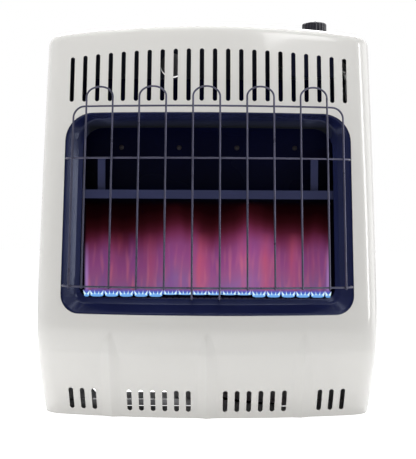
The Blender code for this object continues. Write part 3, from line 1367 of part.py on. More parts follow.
def make_guard_hoop():
    """Wide hoop: its sides lie in front of the bars and its top lies behind the loops."""
    foot = BOTTOM_BAR_Z - WIRE
    turn = HOOP_TOP_Z - HOOP_RADIUS
    side = [guard_point(HOOP_HALF_WIDTH, foot + (turn - foot) * k / 6, LOOP_STAND) for k in range(7)]
    for k in range(1, 6):
        angle = math.pi / 2 * k / 5
        x = HOOP_HALF_WIDTH - HOOP_RADIUS * (1 - math.cos(angle))
        z = turn + HOOP_RADIUS * math.sin(angle)
        side.append(guard_point(x, z, LOOP_STAND - (LOOP_STAND - GUARD_STAND) * k / 5))
    reach = HOOP_HALF_WIDTH - HOOP_RADIUS
    top = [guard_point(reach - 2 * reach * k / 8, HOOP_TOP_Z, GUARD_STAND) for k in range(1, 8)]
    left = [(-x, y, z) for x, y, z in reversed(side)]
    wire("guard_hoop", side + top + left, WIRE, dark_wire())


def make_guard_bar(name, z):
    """Bowed bar whose ends turn back into the window's sides."""
    straight = BAR_END_X - 0.012
    ends = [guard_point(BAR_END_X, z, stand) for stand in (-BEHIND_CASING + GAP, 0.006, GUARD_STAND - 0.010)]
    ends.append(guard_point(BAR_END_X - 0.004, z, GUARD_STAND - 0.003))
    middle = [guard_point(straight - 2 * straight * k / 12, z, GUARD_STAND) for k in range(13)]
    left = [(-x, y, height) for x, y, height in reversed(ends)]
    wire(name, ends + middle + left, WIRE, dark_wire())


def build():
    for obj in list(bpy.data.objects):
        bpy.data.objects.remove(obj)
    bpy.context.scene.collection.children.link(PARTS)
    bpy.context.scene.collection.children.link(CUTTERS)
    CUTTERS.hide_render = True
    make_front_casing()
    make_window_trim()
    make_rear_panel()
    make_floor_pan()
    make_firebox_side("firebox_side_left", -1)
    make_firebox_side("firebox_side_right", 1)
    make_firebox_back()
    make_baffle()
    make_burner_shelf()
    make_firebox_screws()
    make_casing_screws()
    make_burner_tube()
    make_mixer_tube()
    make_burner_bracket("burner_bracket_left", -1)
    make_burner_bracket("burner_bracket_right", 1)
    make_injector()
    pilot_places, pilot_foot = make_pilot()
    make_valve()
    make_valve_bracket()
    make_knob()
    make_igniter()
    make_regulator()
    make_gas_line(pilot_places, pilot_foot)
    make_thermostat()
    make_guard_loops()
    make_guard_hoop()
    make_guard_bar("guard_bar_middle", MIDDLE_BAR_Z)
    make_guard_bar("guard_bar_bottom", BOTTOM_BAR_Z)


build()
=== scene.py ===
"""Dresses the vent-free heater: casing, trim, wires, knob, screws, flames, finishes, stage and camera."""
import json
import math

import bmesh
import bpy
from bpy.props import FloatProperty, FloatVectorProperty, IntProperty, PointerProperty
from bpy.types import Operator, Panel, PropertyGroup
from mathutils import Matrix, Vector
from mathutils.bvhtree import BVHTree
from mathutils.interpolate import poly_3d_calc


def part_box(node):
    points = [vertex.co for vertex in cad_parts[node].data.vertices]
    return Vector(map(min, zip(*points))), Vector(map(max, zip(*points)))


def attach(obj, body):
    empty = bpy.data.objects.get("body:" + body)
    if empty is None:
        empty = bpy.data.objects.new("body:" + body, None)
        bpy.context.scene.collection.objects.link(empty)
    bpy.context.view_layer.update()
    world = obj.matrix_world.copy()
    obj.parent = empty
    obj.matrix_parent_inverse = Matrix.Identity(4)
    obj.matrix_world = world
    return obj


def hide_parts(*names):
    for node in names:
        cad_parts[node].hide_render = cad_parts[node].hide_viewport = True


bl_info = {
    "name": "Vent-free heater",
    "version": (1, 0, 0),
    "blender": (4, 5, 0),
    "location": "3D View > Sidebar > Heater",
    "description": "Makes the visible pieces, finishes, flames and stage of a vent-free heater",
    "category": "Add Mesh",
}

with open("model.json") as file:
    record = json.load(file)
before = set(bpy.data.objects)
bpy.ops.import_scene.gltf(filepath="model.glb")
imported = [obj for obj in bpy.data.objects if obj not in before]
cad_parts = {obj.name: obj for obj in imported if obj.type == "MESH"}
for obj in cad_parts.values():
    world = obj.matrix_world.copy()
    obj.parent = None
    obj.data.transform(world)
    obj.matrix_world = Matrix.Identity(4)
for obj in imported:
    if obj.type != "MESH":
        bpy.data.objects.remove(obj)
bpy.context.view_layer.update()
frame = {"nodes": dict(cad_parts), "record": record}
BODY_OF = {node: body for body, nodes in frame["record"]["behaviour"]["bodies"].items() for node in nodes}

GAP = 0.0003
SHEET = 0.001
CASING_WIDTH = 0.5375
CASING_HEIGHT = 0.6285
CASING_DEPTH = 0.235
CASING_WALL = 0.0012
WHITE = (1, 1, 1, 1)


# Settings

def length(name, description, default, high=2.0):
    return FloatProperty(
        name=name, description=description, default=default, min=0.0, max=high, precision=4, unit="LENGTH"
    )


def colour(name, description, default):
    return FloatVectorProperty(
        name=name, description=description, default=default, size=3, min=0.0, max=1.0, subtype="COLOR"
    )


def amount(name, description, default, high=1.0):
    return FloatProperty(name=name, description=description, default=default, min=0.0, max=high, subtype="FACTOR")


def tilt(name, description, degrees):
    return FloatProperty(name=name, description=description, default=math.radians(degrees), subtype="ANGLE")


def power(name, description, default):
    return FloatProperty(name=name, description=description, default=default, unit="POWER")


class CasingSettings(PropertyGroup):
    """Sizes and colours of the front casing."""
    width: length("Width", "Widest width of the casing", CASING_WIDTH)
    height: length("Height", "Height at the middle of the top", CASING_HEIGHT)
    depth: length("Depth", "From the nose of the apron to the rear edge", CASING_DEPTH)
    plan_radius: length("Bow radius", "Radius of the bowed front, seen from above", 0.850)
    corner_radius: length("Corner radius", "Radius of the upright corners", 0.040)
    roll_radius: length("Roll radius", "Radius of the rolled top edge", 0.018)
    wall: length("Wall", "Thickness of the sheet", CASING_WALL)
    lean: tilt("Lean", "How far the front leans back", 12.5)
    rib_height: length("Rib height", "How far the apron's ribs stand out", 0.005)
    louvre_width: length("Louvre width", "Width of the slots above the window", 0.0072)
    vent_width: length("Vent width", "Width of the slots in the apron", 0.0077)
    enamel: colour("Enamel", "Colour of the white enamel", (0.690, 0.680, 0.655))
    peel: amount("Orange peel", "Strength of the enamel's fine waviness", 0.03)


class TrimSettings(PropertyGroup):
    """Sizes and colour of the window trim."""
    fold: length("Fold radius", "Radius of the trim's folds", 0.0030)
    lap: length("Lap", "How far the trim laps behind the casing", 0.007)
    depth: length("Depth", "How deep the trim slopes in", 0.022)
    enamel: colour("Enamel", "Colour of the dark blue enamel", (0.009, 0.012, 0.050))
    firebox: colour("Firebox", "Colour of the near-black firebox", (0.0010, 0.0020, 0.0200))
    shelf: colour("Shelf", "Colour of the baffle and the shelf", (0.025, 0.030, 0.084))


class GuardSettings(PropertyGroup):
    """Sizes and colour of the wire guard."""
    wire: length("Wire", "Diameter of the guard's wire", 0.003)
    stand: length("Stand-off", "From the casing's face to the bars", 0.0235)
    sides: IntProperty(name="Sides", description="Sides of each wire", default=14, min=6, max=32)
    finish: colour("Finish", "Colour of the wire", (0.085, 0.085, 0.135))


class KnobSettings(PropertyGroup):
    """Sizes and colour of the control knob."""
    ribs: IntProperty(name="Ribs", description="Number of finger ribs", default=20, min=8, max=40)
    groove: length("Groove", "Depth between the ribs", 0.0011)
    edge: length("Edge", "Radius of the top edge", 0.004)
    plastic: colour("Plastic", "Colour of the plastic", (0.013, 0.013, 0.020))


class FlameSettings(PropertyGroup):
    """Look of the flames."""
    pitch: length("Crown pitch", "From one blue crown of flame to the next", 0.0239)
    foot: length("Crown foot", "Height of the crowns' feet above the floor", 0.1876)
    crown: length("Crown height", "Height of the blue crowns", 0.0125)
    top: length("Glow top", "Height of the glow's top above the floor", 0.3440)
    low: colour("Low glow", "Colour of the glow just above the crowns", (0.262, 0.078, 0.212))
    middle: colour("Middle glow", "Colour of the glow half way up", (0.148, 0.026, 0.080))
    high: colour("High glow", "Colour of the glow near its top", (0.020, 0.0024, 0.0038))
    band: colour("Crown foot", "Colour of the crowns' feet", (0.17, 0.42, 0.86))
    thread: colour("Bright threads", "Colour of the bright threads in the crowns", (0.62, 0.83, 1.0))


class StageSettings(PropertyGroup):
    """Light and camera."""
    ambient: amount("Ambient", "Strength of the even light", 0.27, high=2.0)
    glow: amount("Table glow", "Strength of the light that comes up from the table", 0.45, high=2.0)
    table: amount("Table white", "Strength of the table's white as the camera sees it", 0.84, high=2.0)
    left_power: power("Left box", "Power of the left lamp", 6.8)
    top_power: power("Top box", "Power of the overhead lamp", 15.6)
    back_power: power("Back box", "Power of the lamp behind", 24.0)
    rim_power: power("Rim box", "Power of the right rear lamp", 3.3)
    right_power: power("Right strip", "Power of the right strip lamp", 5.0)
    fold_power: power("Fold strip", "Power of the narrow lamp above", 2.4)
    high_power: power("High box", "Power of the high right lamp", 5.0)
    eye_height: length("Camera height", "Height of the camera", 0.3355)
    eye_distance: length("Camera distance", "From the heater's middle to the camera", 1.7175, high=10.0)
    roll: tilt("Roll", "Turn of the camera", 0.3)


# The casing's surface

WIDEST_Z = 0.1755
NOSE_Z = 0.1395
NOSE_ROUND = 0.030
CREASE_Z = 0.1095
CREASE_DEPTH = 0.003
CREASE_SLOPE = 0.38
APRON_SETBACK = 0.065
TOP_TAPER = 0.0045
BOTTOM_TAPER = 0.005
ARCH_RADIUS = 2.7
RIB_SPACING = 0.150
RIB_WIDTH = 0.030
RIB_TIP_Z = NOSE_Z + 0.002
RIB_TIP_LENGTH = 0.040
FLAT_MARGIN = 0.010
SHOULDER_DROP = 0.055
CREASE_MARGIN = 0.006
TIP_MARGIN = 0.018


class CasingSurface:
    """Places on the casing's outer face, worked out from its settings."""

    def __init__(self, sizes):
        self.sizes = sizes
        self.nose_y = -sizes.depth / 2
        self.rear_y = sizes.depth / 2
        self.reach = sizes.plan_radius - sizes.corner_radius
        self.flat_end = sizes.width / 2 - sizes.corner_radius - FLAT_MARGIN

    def front_depth(self, z):
        """How far the front's centre line stands behind its nose."""
        rise = z - NOSE_Z
        if rise >= 0:
            return math.tan(self.sizes.lean) * (math.hypot(rise, NOSE_ROUND) - NOSE_ROUND)
        drop = CREASE_Z - z
        if drop <= 0:
            return CREASE_DEPTH * (rise / (NOSE_Z - CREASE_Z)) ** 2
        bend = (APRON_SETBACK - CREASE_DEPTH - CREASE_SLOPE * CREASE_Z) / CREASE_Z**2
        return CREASE_DEPTH + CREASE_SLOPE * drop + bend * drop**2

    def face_y(self, x, z):
        radius = self.sizes.plan_radius
        return self.nose_y + self.front_depth(z) + radius - math.sqrt(radius**2 - x**2)

    def half_width(self, z):
        above = max(0.0, z - WIDEST_Z) / (self.sizes.height - WIDEST_Z)
        below = max(0.0, WIDEST_Z - z) / WIDEST_Z
        return self.sizes.width / 2 - TOP_TAPER * above**2 - BOTTOM_TAPER * below**2

    def top_z(self, x):
        return self.sizes.height - x**2 / (2 * ARCH_RADIUS)

    def rib_rise(self, x, z):
        reach = min(1.0, max(0.0, (RIB_TIP_Z - z) / RIB_TIP_LENGTH))
        half = RIB_WIDTH / 2 * math.sqrt(reach)
        off = min(abs(x), abs(abs(x) - RIB_SPACING))
        return self.sizes.rib_height * reach * (1 - off / half) if off < half else 0.0

    def stations(self):
        """Upright lines of the mesh over the right half: along the front, round the corner, along the side."""
        half = RIB_WIDTH / 2
        marks = ((0.0, half, 12), (half, RIB_SPACING - half, 22), (RIB_SPACING - half, RIB_SPACING + half, 24),
                 (RIB_SPACING + half, self.flat_end, 10))
        front = [("front", 0.0)]
        for start, end, count in marks:
            front += [("front", start + (end - start) * k / count) for k in range(1, count + 1)]
        edge = [("edge", k / 3) for k in range(1, 4)]
        corner = [("corner", k / 16) for k in range(1, 17)]
        side = [("side", k / 8) for k in range(1, 9)]
        return front + edge + corner + side

    def plan_point(self, station, z, inward=0.0):
        """Where a station stands at height z, drawn in by inward."""
        kind, part = station
        corner_x = self.half_width(z) - self.sizes.corner_radius
        start = math.asin(corner_x / self.reach)
        if kind in ("front", "edge"):
            x = part
            if kind == "edge":
                x = self.flat_end + (self.sizes.plan_radius * math.sin(start) - self.flat_end) * part
            sine = x / self.sizes.plan_radius
            y = self.face_y(x, z) - self.rib_rise(x, z)
            return x - inward * sine, y + inward * math.sqrt(1 - sine**2)
        corner_y = self.nose_y + self.front_depth(z) + self.sizes.plan_radius
        corner_y -= math.sqrt(self.reach**2 - corner_x**2)
        if kind == "side":
            return self.half_width(z) - inward, corner_y + (self.rear_y - corner_y) * part
        angle = start + (math.pi / 2 - start) * part
        radius = self.sizes.corner_radius - inward
        return corner_x + radius * math.sin(angle), corner_y - radius * math.cos(angle)

    def facing(self, station):
        """How squarely a station faces forward, from 0 at the side to 1 at the middle."""
        kind, part = station
        start = math.asin((self.half_width(self.sizes.height) - self.sizes.corner_radius) / self.reach)
        if kind == "side":
            return 0.0
        if kind == "corner":
            return math.cos(start + (math.pi / 2 - start) * part)
        x = self.plan_point(station, self.sizes.height)[0]
        return math.sqrt(1 - (x / self.sizes.plan_radius) ** 2)

    def roll_point(self, station, part):
        """Point on the rolled top edge, from 0 where it leaves the wall to 1 where it lies level."""
        lean = self.sizes.lean * self.facing(station)
        angle = lean + (math.pi / 2 - lean) * part
        radius = self.sizes.roll_radius
        drop = radius * (1 - math.sin(lean))
        outer_x = self.plan_point(station, self.sizes.height - drop)[0]
        inward = radius * (math.cos(lean) - math.cos(angle))
        x, y = self.plan_point(station, self.top_z(outer_x) - drop, inward)
        return x, y, self.top_z(x) - radius * (1 - math.sin(angle))

    def rows(self):
        """Rows of the mesh, each a function from a station to its point."""
        shoulder = self.sizes.height - SHOULDER_DROP
        crease, tips = CREASE_Z - CREASE_MARGIN, RIB_TIP_Z + TIP_MARGIN
        marks = ((0.0, crease, 14), (crease, tips, 18), (tips, shoulder, 62))
        heights = [0.0]
        for start, end, count in marks:
            heights += [start + (end - start) * k / count for k in range(1, count + 1)]
        rows = [lambda station, z=z: (*self.plan_point(station, z), z) for z in heights]

        def upper(station, part):
            end = self.roll_point(station, 0.0)[2]
            z = shoulder + (end - shoulder) * part
            return (*self.plan_point(station, z), z)

        rows += [lambda station, part=k / 5: upper(station, part) for k in range(1, 5)]
        rows += [lambda station, part=k / 12: self.roll_point(station, part) for k in range(13)]
        return rows


# Window and slots, as the solids have them

WINDOW_HALF = 0.228
WINDOW_LOW = 0.1685
WINDOW_HIGH = 0.4835
LOUVRES = 22
LOUVRE_MARGIN = 0.0493
LOUVRE_PITCH = (CASING_WIDTH - 2 * LOUVRE_MARGIN) / (LOUVRES - 1)
LOUVRE_LOW = WINDOW_HIGH + 0.018
LOUVRE_HIGH = CASING_HEIGHT - 0.0415
LOUVRE_DROP = 0.012
VENTS = ((-0.19605, 3), (-0.075, 6), (0.075, 6), (0.19605, 3))
VENT_PITCH = 0.0185
VENT_LOW = 0.012
VENT_HIGH = 0.049
BEHIND_CASING = CASING_WALL * 1.1 + 2 * GAP
LOW_CORNER = 0.029
HIGH_CORNER = 0.045
CORNER_STEPS, ACROSS_STEPS, UP_STEPS = 12, 30, 20
TOP_HOLES = (("control_knob", 0.0225), ("igniter_button", 0.0098))
TOP_CUT = 0.015
CUT_BEFORE = 0.02
CUT_REACH = 0.06
WINDOW_CUT_Y = -0.20
WINDOW_CUT_REACH = 0.24


def window_outline(side=0.0, top=0.0, bottom=0.0):
    """The window's outline in front view, (x, z), each side drawn in by its own amount."""
    half, low, high = WINDOW_HALF - side, WINDOW_LOW + bottom, WINDOW_HIGH - top
    low_radius = LOW_CORNER * min(1.0, 1 - side / 2 / LOW_CORNER)
    high_radius = HIGH_CORNER * min(1.0, 1 - side / 2 / HIGH_CORNER)
    corners = (
        (half - low_radius, low + low_radius, low_radius, -math.pi / 2, UP_STEPS),
        (half - high_radius, high - high_radius, high_radius, 0.0, ACROSS_STEPS),
        (high_radius - half, high - high_radius, high_radius, math.pi / 2, UP_STEPS),
        (low_radius - half, low + low_radius, low_radius, math.pi, ACROSS_STEPS),
    )
    outline = []
    for index, (x, z, radius, start, straight) in enumerate(corners):
        for k in range(CORNER_STEPS + 1):
            angle = start + math.pi / 2 * k / CORNER_STEPS
            outline.append(Vector((x + radius * math.cos(angle), z + radius * math.sin(angle))))
        next_x, next_z, next_radius, next_start, _ = corners[(index + 1) % 4]
        end = Vector((next_x + next_radius * math.cos(next_start), next_z + next_radius * math.sin(next_start)))
        begin = outline[-1]
        outline += [begin.lerp(end, k / straight) for k in range(1, straight)]
    return outline


# Making pieces

def clear(name):
    """Removes a piece that an earlier run made."""
    old = bpy.data.objects.get(name)
    if old:
        bpy.data.objects.remove(old)


def add_piece(name, mesh, finish, nodes=(), body="heater_body"):
    """Puts a finished mesh in the scene, on its body, in place of the solids it stands for."""
    clear(name)
    piece = bpy.data.objects.new(name, mesh)
    mesh.name = name
    bpy.context.scene.collection.objects.link(piece)
    mesh.materials.clear()
    mesh.materials.append(finish)
    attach(piece, body)
    if nodes:
        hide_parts(*nodes)
    return piece


def to_mesh(shape, name, sharp):
    """Turns a bmesh into a mesh with smooth faces and sharp edges."""
    mesh = bpy.data.meshes.new(name)
    shape.to_mesh(mesh)
    shape.free()
    mesh.shade_smooth()
    mesh.set_sharp_from_angle(angle=math.radians(sharp))
    return mesh


def helper(name, mesh):
    """An object that only lends its mesh to a modifier."""
    made = bpy.data.objects.new(name, mesh)
    bpy.context.scene.collection.objects.link(made)
    return made


def apply_modifiers(name, mesh, steps, cutters=()):
    """Runs modifiers over a mesh and gives back the result; each step is (kind, values)."""
    base = helper(name + "_base", mesh)
    for kind, values in steps:
        step = base.modifiers.new(kind.lower(), kind)
        for key, value in values.items():
            setattr(step, key, value)
    for cutter in cutters:
        step = base.modifiers.new(cutter.name, "BOOLEAN")
        step.operation = "DIFFERENCE"
        step.solver = "EXACT"
        step.object = cutter
    bpy.context.view_layer.update()
    evaluated = base.evaluated_get(bpy.context.evaluated_depsgraph_get())
    result = bpy.data.meshes.new_from_object(evaluated)
    for used in (base, *cutters):
        bpy.data.objects.remove(used)
    result.name = name
    return result


def extrude_face(shape, face, shift):
    """Pulls a face out along shift and gives back the new one."""
    made = bmesh.ops.extrude_face_region(shape, geom=[face])["geom"]
    verts = [part for part in made if isinstance(part, bmesh.types.BMVert)]
    bmesh.ops.translate(shape, verts=verts, vec=shift)
    return next(part for part in made if isinstance(part, bmesh.types.BMFace))


def slot_cutter(shape, x, low, high, width, front, reach):
    """Adds an upright slot with round ends, as a body that cuts along Y."""
    middle = (low + high) / 2
    turn = Matrix.Rotation(math.pi / 2, 4, "X") @ Matrix.Rotation(math.pi / 20, 4, "Z")
    ring = bmesh.ops.create_circle(
        shape, cap_ends=True, segments=20, radius=width / 2, matrix=Matrix.Translation((x, front, middle)) @ turn
    )["verts"]
    stretch = (high - low - width) / 2
    for vert in ring:
        vert.co.z += stretch if vert.co.z > middle else -stretch
    extrude_face(shape, ring[0].link_faces[0], (0, reach, 0))


def round_cutter(shape, x, y, z, radius, reach):
    ring = bmesh.ops.create_circle(
        shape, cap_ends=True, segments=48, radius=radius, matrix=Matrix.Translation((x, y, z - reach))
    )["verts"]
    extrude_face(shape, ring[0].link_faces[0], (0, 0, 2 * reach))


def cutter_object(shape, name):
    bmesh.ops.recalc_face_normals(shape, faces=shape.faces)
    mesh = bpy.data.meshes.new(name)
    shape.to_mesh(mesh)
    shape.free()
    return helper(name, mesh)


def casing_sheet(surface):
    """The casing's outer face as one open sheet, from a grid laid over the surface."""
    half = surface.stations()
    columns = [(station, -1) for station in reversed(half[1:])] + [(station, 1) for station in half]
    rows = surface.rows()
    shape = bmesh.new()
    bmesh.ops.create_grid(shape, x_segments=len(columns) - 1, y_segments=len(rows) - 1, size=1.0)
    rim = {}
    for vert in shape.verts:
        column = round((vert.co.x + 1) / 2 * (len(columns) - 1))
        row = round((vert.co.y + 1) / 2 * (len(rows) - 1))
        station, sign = columns[column]
        x, y, z = rows[row](station)
        vert.co = (sign * x, y, z)
        if row == len(rows) - 1:
            rim[column] = vert
    corner_end = max(k for k, (kind, _) in enumerate(half) if kind == "corner")
    first, last = len(half) - 1 - corner_end, len(half) - 1 + corner_end
    strip = [shape.edges.get((rim[k], rim[k + 1])) for k in range(first, last)]
    starts = {rim[k].co.x: rim[k].co.y for k in range(first, last + 1)}
    steps = sum(kind == "side" for kind, _ in half)
    for step in range(1, steps + 1):
        made = bmesh.ops.extrude_edge_only(shape, edges=strip)["geom"]
        strip = [part for part in made if isinstance(part, bmesh.types.BMEdge)]
        for vert in (part for part in made if isinstance(part, bmesh.types.BMVert)):
            start = starts[min(starts, key=lambda x: abs(x - vert.co.x))]
            vert.co.y = start + (surface.rear_y - start) * step / steps
    bmesh.ops.remove_doubles(shape, verts=shape.verts, dist=1e-5)
    bmesh.ops.recalc_face_normals(shape, faces=shape.faces)
    nose = min(shape.faces, key=lambda face: face.calc_center_median().y)
    if nose.normal.y > 0:
        bmesh.ops.reverse_faces(shape, faces=shape.faces)
    return shape


EDGE_FACING = 0.3
SHEET_FACING = 0.8
EDGE_ROLL = 1.6


def keep_surface_normals(mesh, sheet, wall):
    """Gives the cut wall's faces the smooth normals of the sheet that it was made from."""
    sheet.normal_update()
    sheet.faces.ensure_lookup_table()
    tree = BVHTree.FromBMesh(sheet)
    mesh.shade_smooth()
    mesh.set_sharp_from_angle(angle=math.radians(40))
    normals = [Vector(corner.vector) for corner in mesh.corner_normals]
    for face in mesh.polygons:
        _, across, _, distance = tree.find_nearest(face.center)
        side = 1 if face.normal.dot(across) > 0 else -1
        depth = 0.0 if side > 0 else wall
        if abs(face.normal.dot(across)) < EDGE_FACING and distance < wall:
            for loop in face.loop_indices:
                _, outward, _, away = tree.find_nearest(mesh.vertices[mesh.loops[loop].vertex_index].co)
                if away < wall / 4:
                    normals[loop] = (outward * EDGE_ROLL + face.normal).normalized()
            continue
        if abs(face.normal.dot(across)) < SHEET_FACING or abs(distance - depth) > wall / 3:
            continue
        for loop in face.loop_indices:
            point, _, index, _ = tree.find_nearest(mesh.vertices[mesh.loops[loop].vertex_index].co)
            source = sheet.faces[index]
            weights = poly_3d_calc([vert.co for vert in source.verts], point)
            smooth = sum((vert.normal * weight for vert, weight in zip(source.verts, weights)), Vector())
            normals[loop] = smooth.normalized() * side
    mesh.normals_split_custom_set(normals)


def make_casing(settings):
    surface = CasingSurface(settings)
    sheet = casing_sheet(surface)
    outer = bpy.data.meshes.new("casing_outer")
    sheet.to_mesh(outer)
    openings = bmesh.new()
    last = LOUVRE_PITCH * (LOUVRES - 1) / 2
    for k in range(LOUVRES):
        x = LOUVRE_PITCH * k - last
        high = LOUVRE_HIGH - LOUVRE_DROP * (x / last) ** 2
        front = surface.face_y(x, LOUVRE_LOW) - CUT_BEFORE
        slot_cutter(openings, x, LOUVRE_LOW, high, settings.louvre_width, front, CUT_REACH)
    for centre, count in VENTS:
        for k in range(count):
            x = centre + VENT_PITCH * (k - (count - 1) / 2)
            front = surface.face_y(x, VENT_HIGH) - CUT_BEFORE
            slot_cutter(openings, x, VENT_LOW, VENT_HIGH, settings.vent_width, front, CUT_REACH)
    for node, radius in TOP_HOLES:
        low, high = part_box(node)
        x, y = (low[0] + high[0]) / 2, (low[1] + high[1]) / 2
        round_cutter(openings, x, y, surface.top_z(x), radius, TOP_CUT)
    window = bmesh.new()
    ring = [window.verts.new((x, WINDOW_CUT_Y, z)) for x, z in window_outline()]
    extrude_face(window, window.faces.new(ring), (0, WINDOW_CUT_REACH, 0))
    wall = ("SOLIDIFY", {"thickness": settings.wall, "offset": -1.0, "use_even_offset": True})
    cutters = (cutter_object(openings, "casing_openings"), cutter_object(window, "casing_window"))
    mesh = apply_modifiers("front_casing_shell", outer, [wall], cutters)
    keep_surface_normals(mesh, sheet, settings.wall)
    sheet.free()
    return mesh


def place_key(point):
    """A point's place, rounded so that it can be looked up."""
    return tuple(round(value, 6) for value in point)


def ring_sheet(loops):
    """An open sheet through closed loops of equal count, each pulled out of the one before."""
    shape = bmesh.new()
    ring = [shape.verts.new(point) for point in loops[0]]
    edges = [shape.edges.new((ring[k - 1], ring[k])) for k in range(len(ring))]
    for before, after in zip(loops, loops[1:]):
        places = {place_key(point): k for k, point in enumerate(before)}
        made = bmesh.ops.extrude_edge_only(shape, edges=edges)["geom"]
        edges = [part for part in made if isinstance(part, bmesh.types.BMEdge)]
        for vert in (part for part in made if isinstance(part, bmesh.types.BMVert)):
            vert.co = after[places[place_key(vert.co)]]
    return shape


TRIM_SLOPE = (0.020, 0.007, 0.0145)
TRIM_LIP = (0.007, 0.016, 0.0085, 0.0035)


def make_trim(settings, surface):
    """Dark frame behind the window: a flat lap, a slope inwards and a narrow inner lip."""
    side, top, bottom = TRIM_SLOPE
    lip_side, lip_top, lip_bottom, lip_fall = TRIM_LIP
    amounts = (
        (-settings.lap, -settings.lap, -settings.lap, 0.0),
        (0.002, 0.002, 0.002, 0.0),
        (side, top, bottom, settings.depth),
        (side + lip_side, top + lip_top, bottom + lip_bottom, settings.depth + lip_fall),
    )
    loops = []
    for inset, head, foot, behind in amounts:
        outline = window_outline(inset, head, foot)
        loops.append([Vector((x, surface.face_y(x, z) + BEHIND_CASING + behind, z)) for x, z in outline])
    shape = ring_sheet(loops)
    folds = []
    for loop in loops[1:3]:
        places = {place_key(point) for point in loop}
        folds += [edge for edge in shape.edges if all(place_key(vert.co) in places for vert in edge.verts)]
    bmesh.ops.bevel(
        shape, geom=folds, offset=settings.fold, offset_type="OFFSET", segments=4, profile=0.5, affect="EDGES",
        material=-1, clamp_overlap=True,
    )
    bmesh.ops.recalc_face_normals(shape, faces=shape.faces)
    if sum(face.normal.y * face.calc_area() for face in shape.faces) > 0:
        bmesh.ops.reverse_faces(shape, faces=shape.faces)
    mesh = to_mesh(shape, "trim_sheet", 60)
    wall = ("SOLIDIFY", {"thickness": SHEET, "offset": -1.0})
    mesh = apply_modifiers("window_trim_frame", mesh, [wall])
    mesh.set_sharp_from_angle(angle=math.radians(50))
    return mesh


# Wires

ROUTE_STEP = 0.0015


def smooth_route(points):
    """Points along a smooth curve through the given ones."""
    knots = [Vector(point) for point in points]
    knots = [knots[0] * 2 - knots[1]] + knots + [knots[-1] * 2 - knots[-2]]
    route = []
    for before, start, end, after in zip(knots, knots[1:], knots[2:], knots[3:]):
        count = max(1, round((end - start).length / ROUTE_STEP))
        for k in range(count):
            t = k / count
            route.append(
                0.5 * (2 * start + (end - before) * t
                       + (2 * before - 5 * start + 4 * end - after) * t**2
                       + (3 * start - before - 3 * end + after) * t**3)
            )
    route.append(knots[-2])
    return route


def wire_mesh(name, points, diameter, sides):
    """A round wire along the points."""
    curve = bpy.data.curves.new(name, "CURVE")
    curve.dimensions = "3D"
    curve.bevel_depth = diameter / 2
    curve.bevel_resolution = sides // 2 - 2
    curve.use_fill_caps = True
    spline = curve.splines.new("POLY")
    spline.points.add(len(points) - 1)
    for knot, point in zip(spline.points, points):
        knot.co = (*point, 1.0)
    guide = helper(name + "_guide", curve)
    bpy.context.view_layer.update()
    mesh = bpy.data.meshes.new_from_object(guide.evaluated_get(bpy.context.evaluated_depsgraph_get()))
    bpy.data.objects.remove(guide)
    shape = bmesh.new()
    shape.from_mesh(mesh)
    bmesh.ops.remove_doubles(shape, verts=shape.verts, dist=1e-6)
    bmesh.ops.recalc_face_normals(shape, faces=shape.faces)
    return to_mesh(shape, name, 60)


GUARD_LOOPS = 5
LOOP_SHIFT = -0.0025
HOOP_HALF = WINDOW_HALF - 0.016
HOOP_TOP = WINDOW_HIGH + 0.008
HOOP_RADIUS = 0.018
LOOP_TOP = WINDOW_HIGH + 0.0388
LOOP_ARCH = 0.016
GUARD_PITCH = 2 * (HOOP_HALF - 0.023) / (2 * GUARD_LOOPS - 1)
BAR_END = WINDOW_HALF - 0.0045
BAR_BEND = 0.012
MIDDLE_BAR_Z = WINDOW_HIGH - 0.074
BOTTOM_BAR_Z = WINDOW_LOW + 0.0434
TRIM_INNER_LOW = WINDOW_LOW + 0.023
BEHIND_TRIM = BEHIND_CASING + 0.024 + SHEET + 2 * GAP


def loop_centres():
    middle = (GUARD_LOOPS + 1) / 2
    return {number: (number - middle) * 2 * GUARD_PITCH + LOOP_SHIFT for number in range(1, GUARD_LOOPS + 1)}


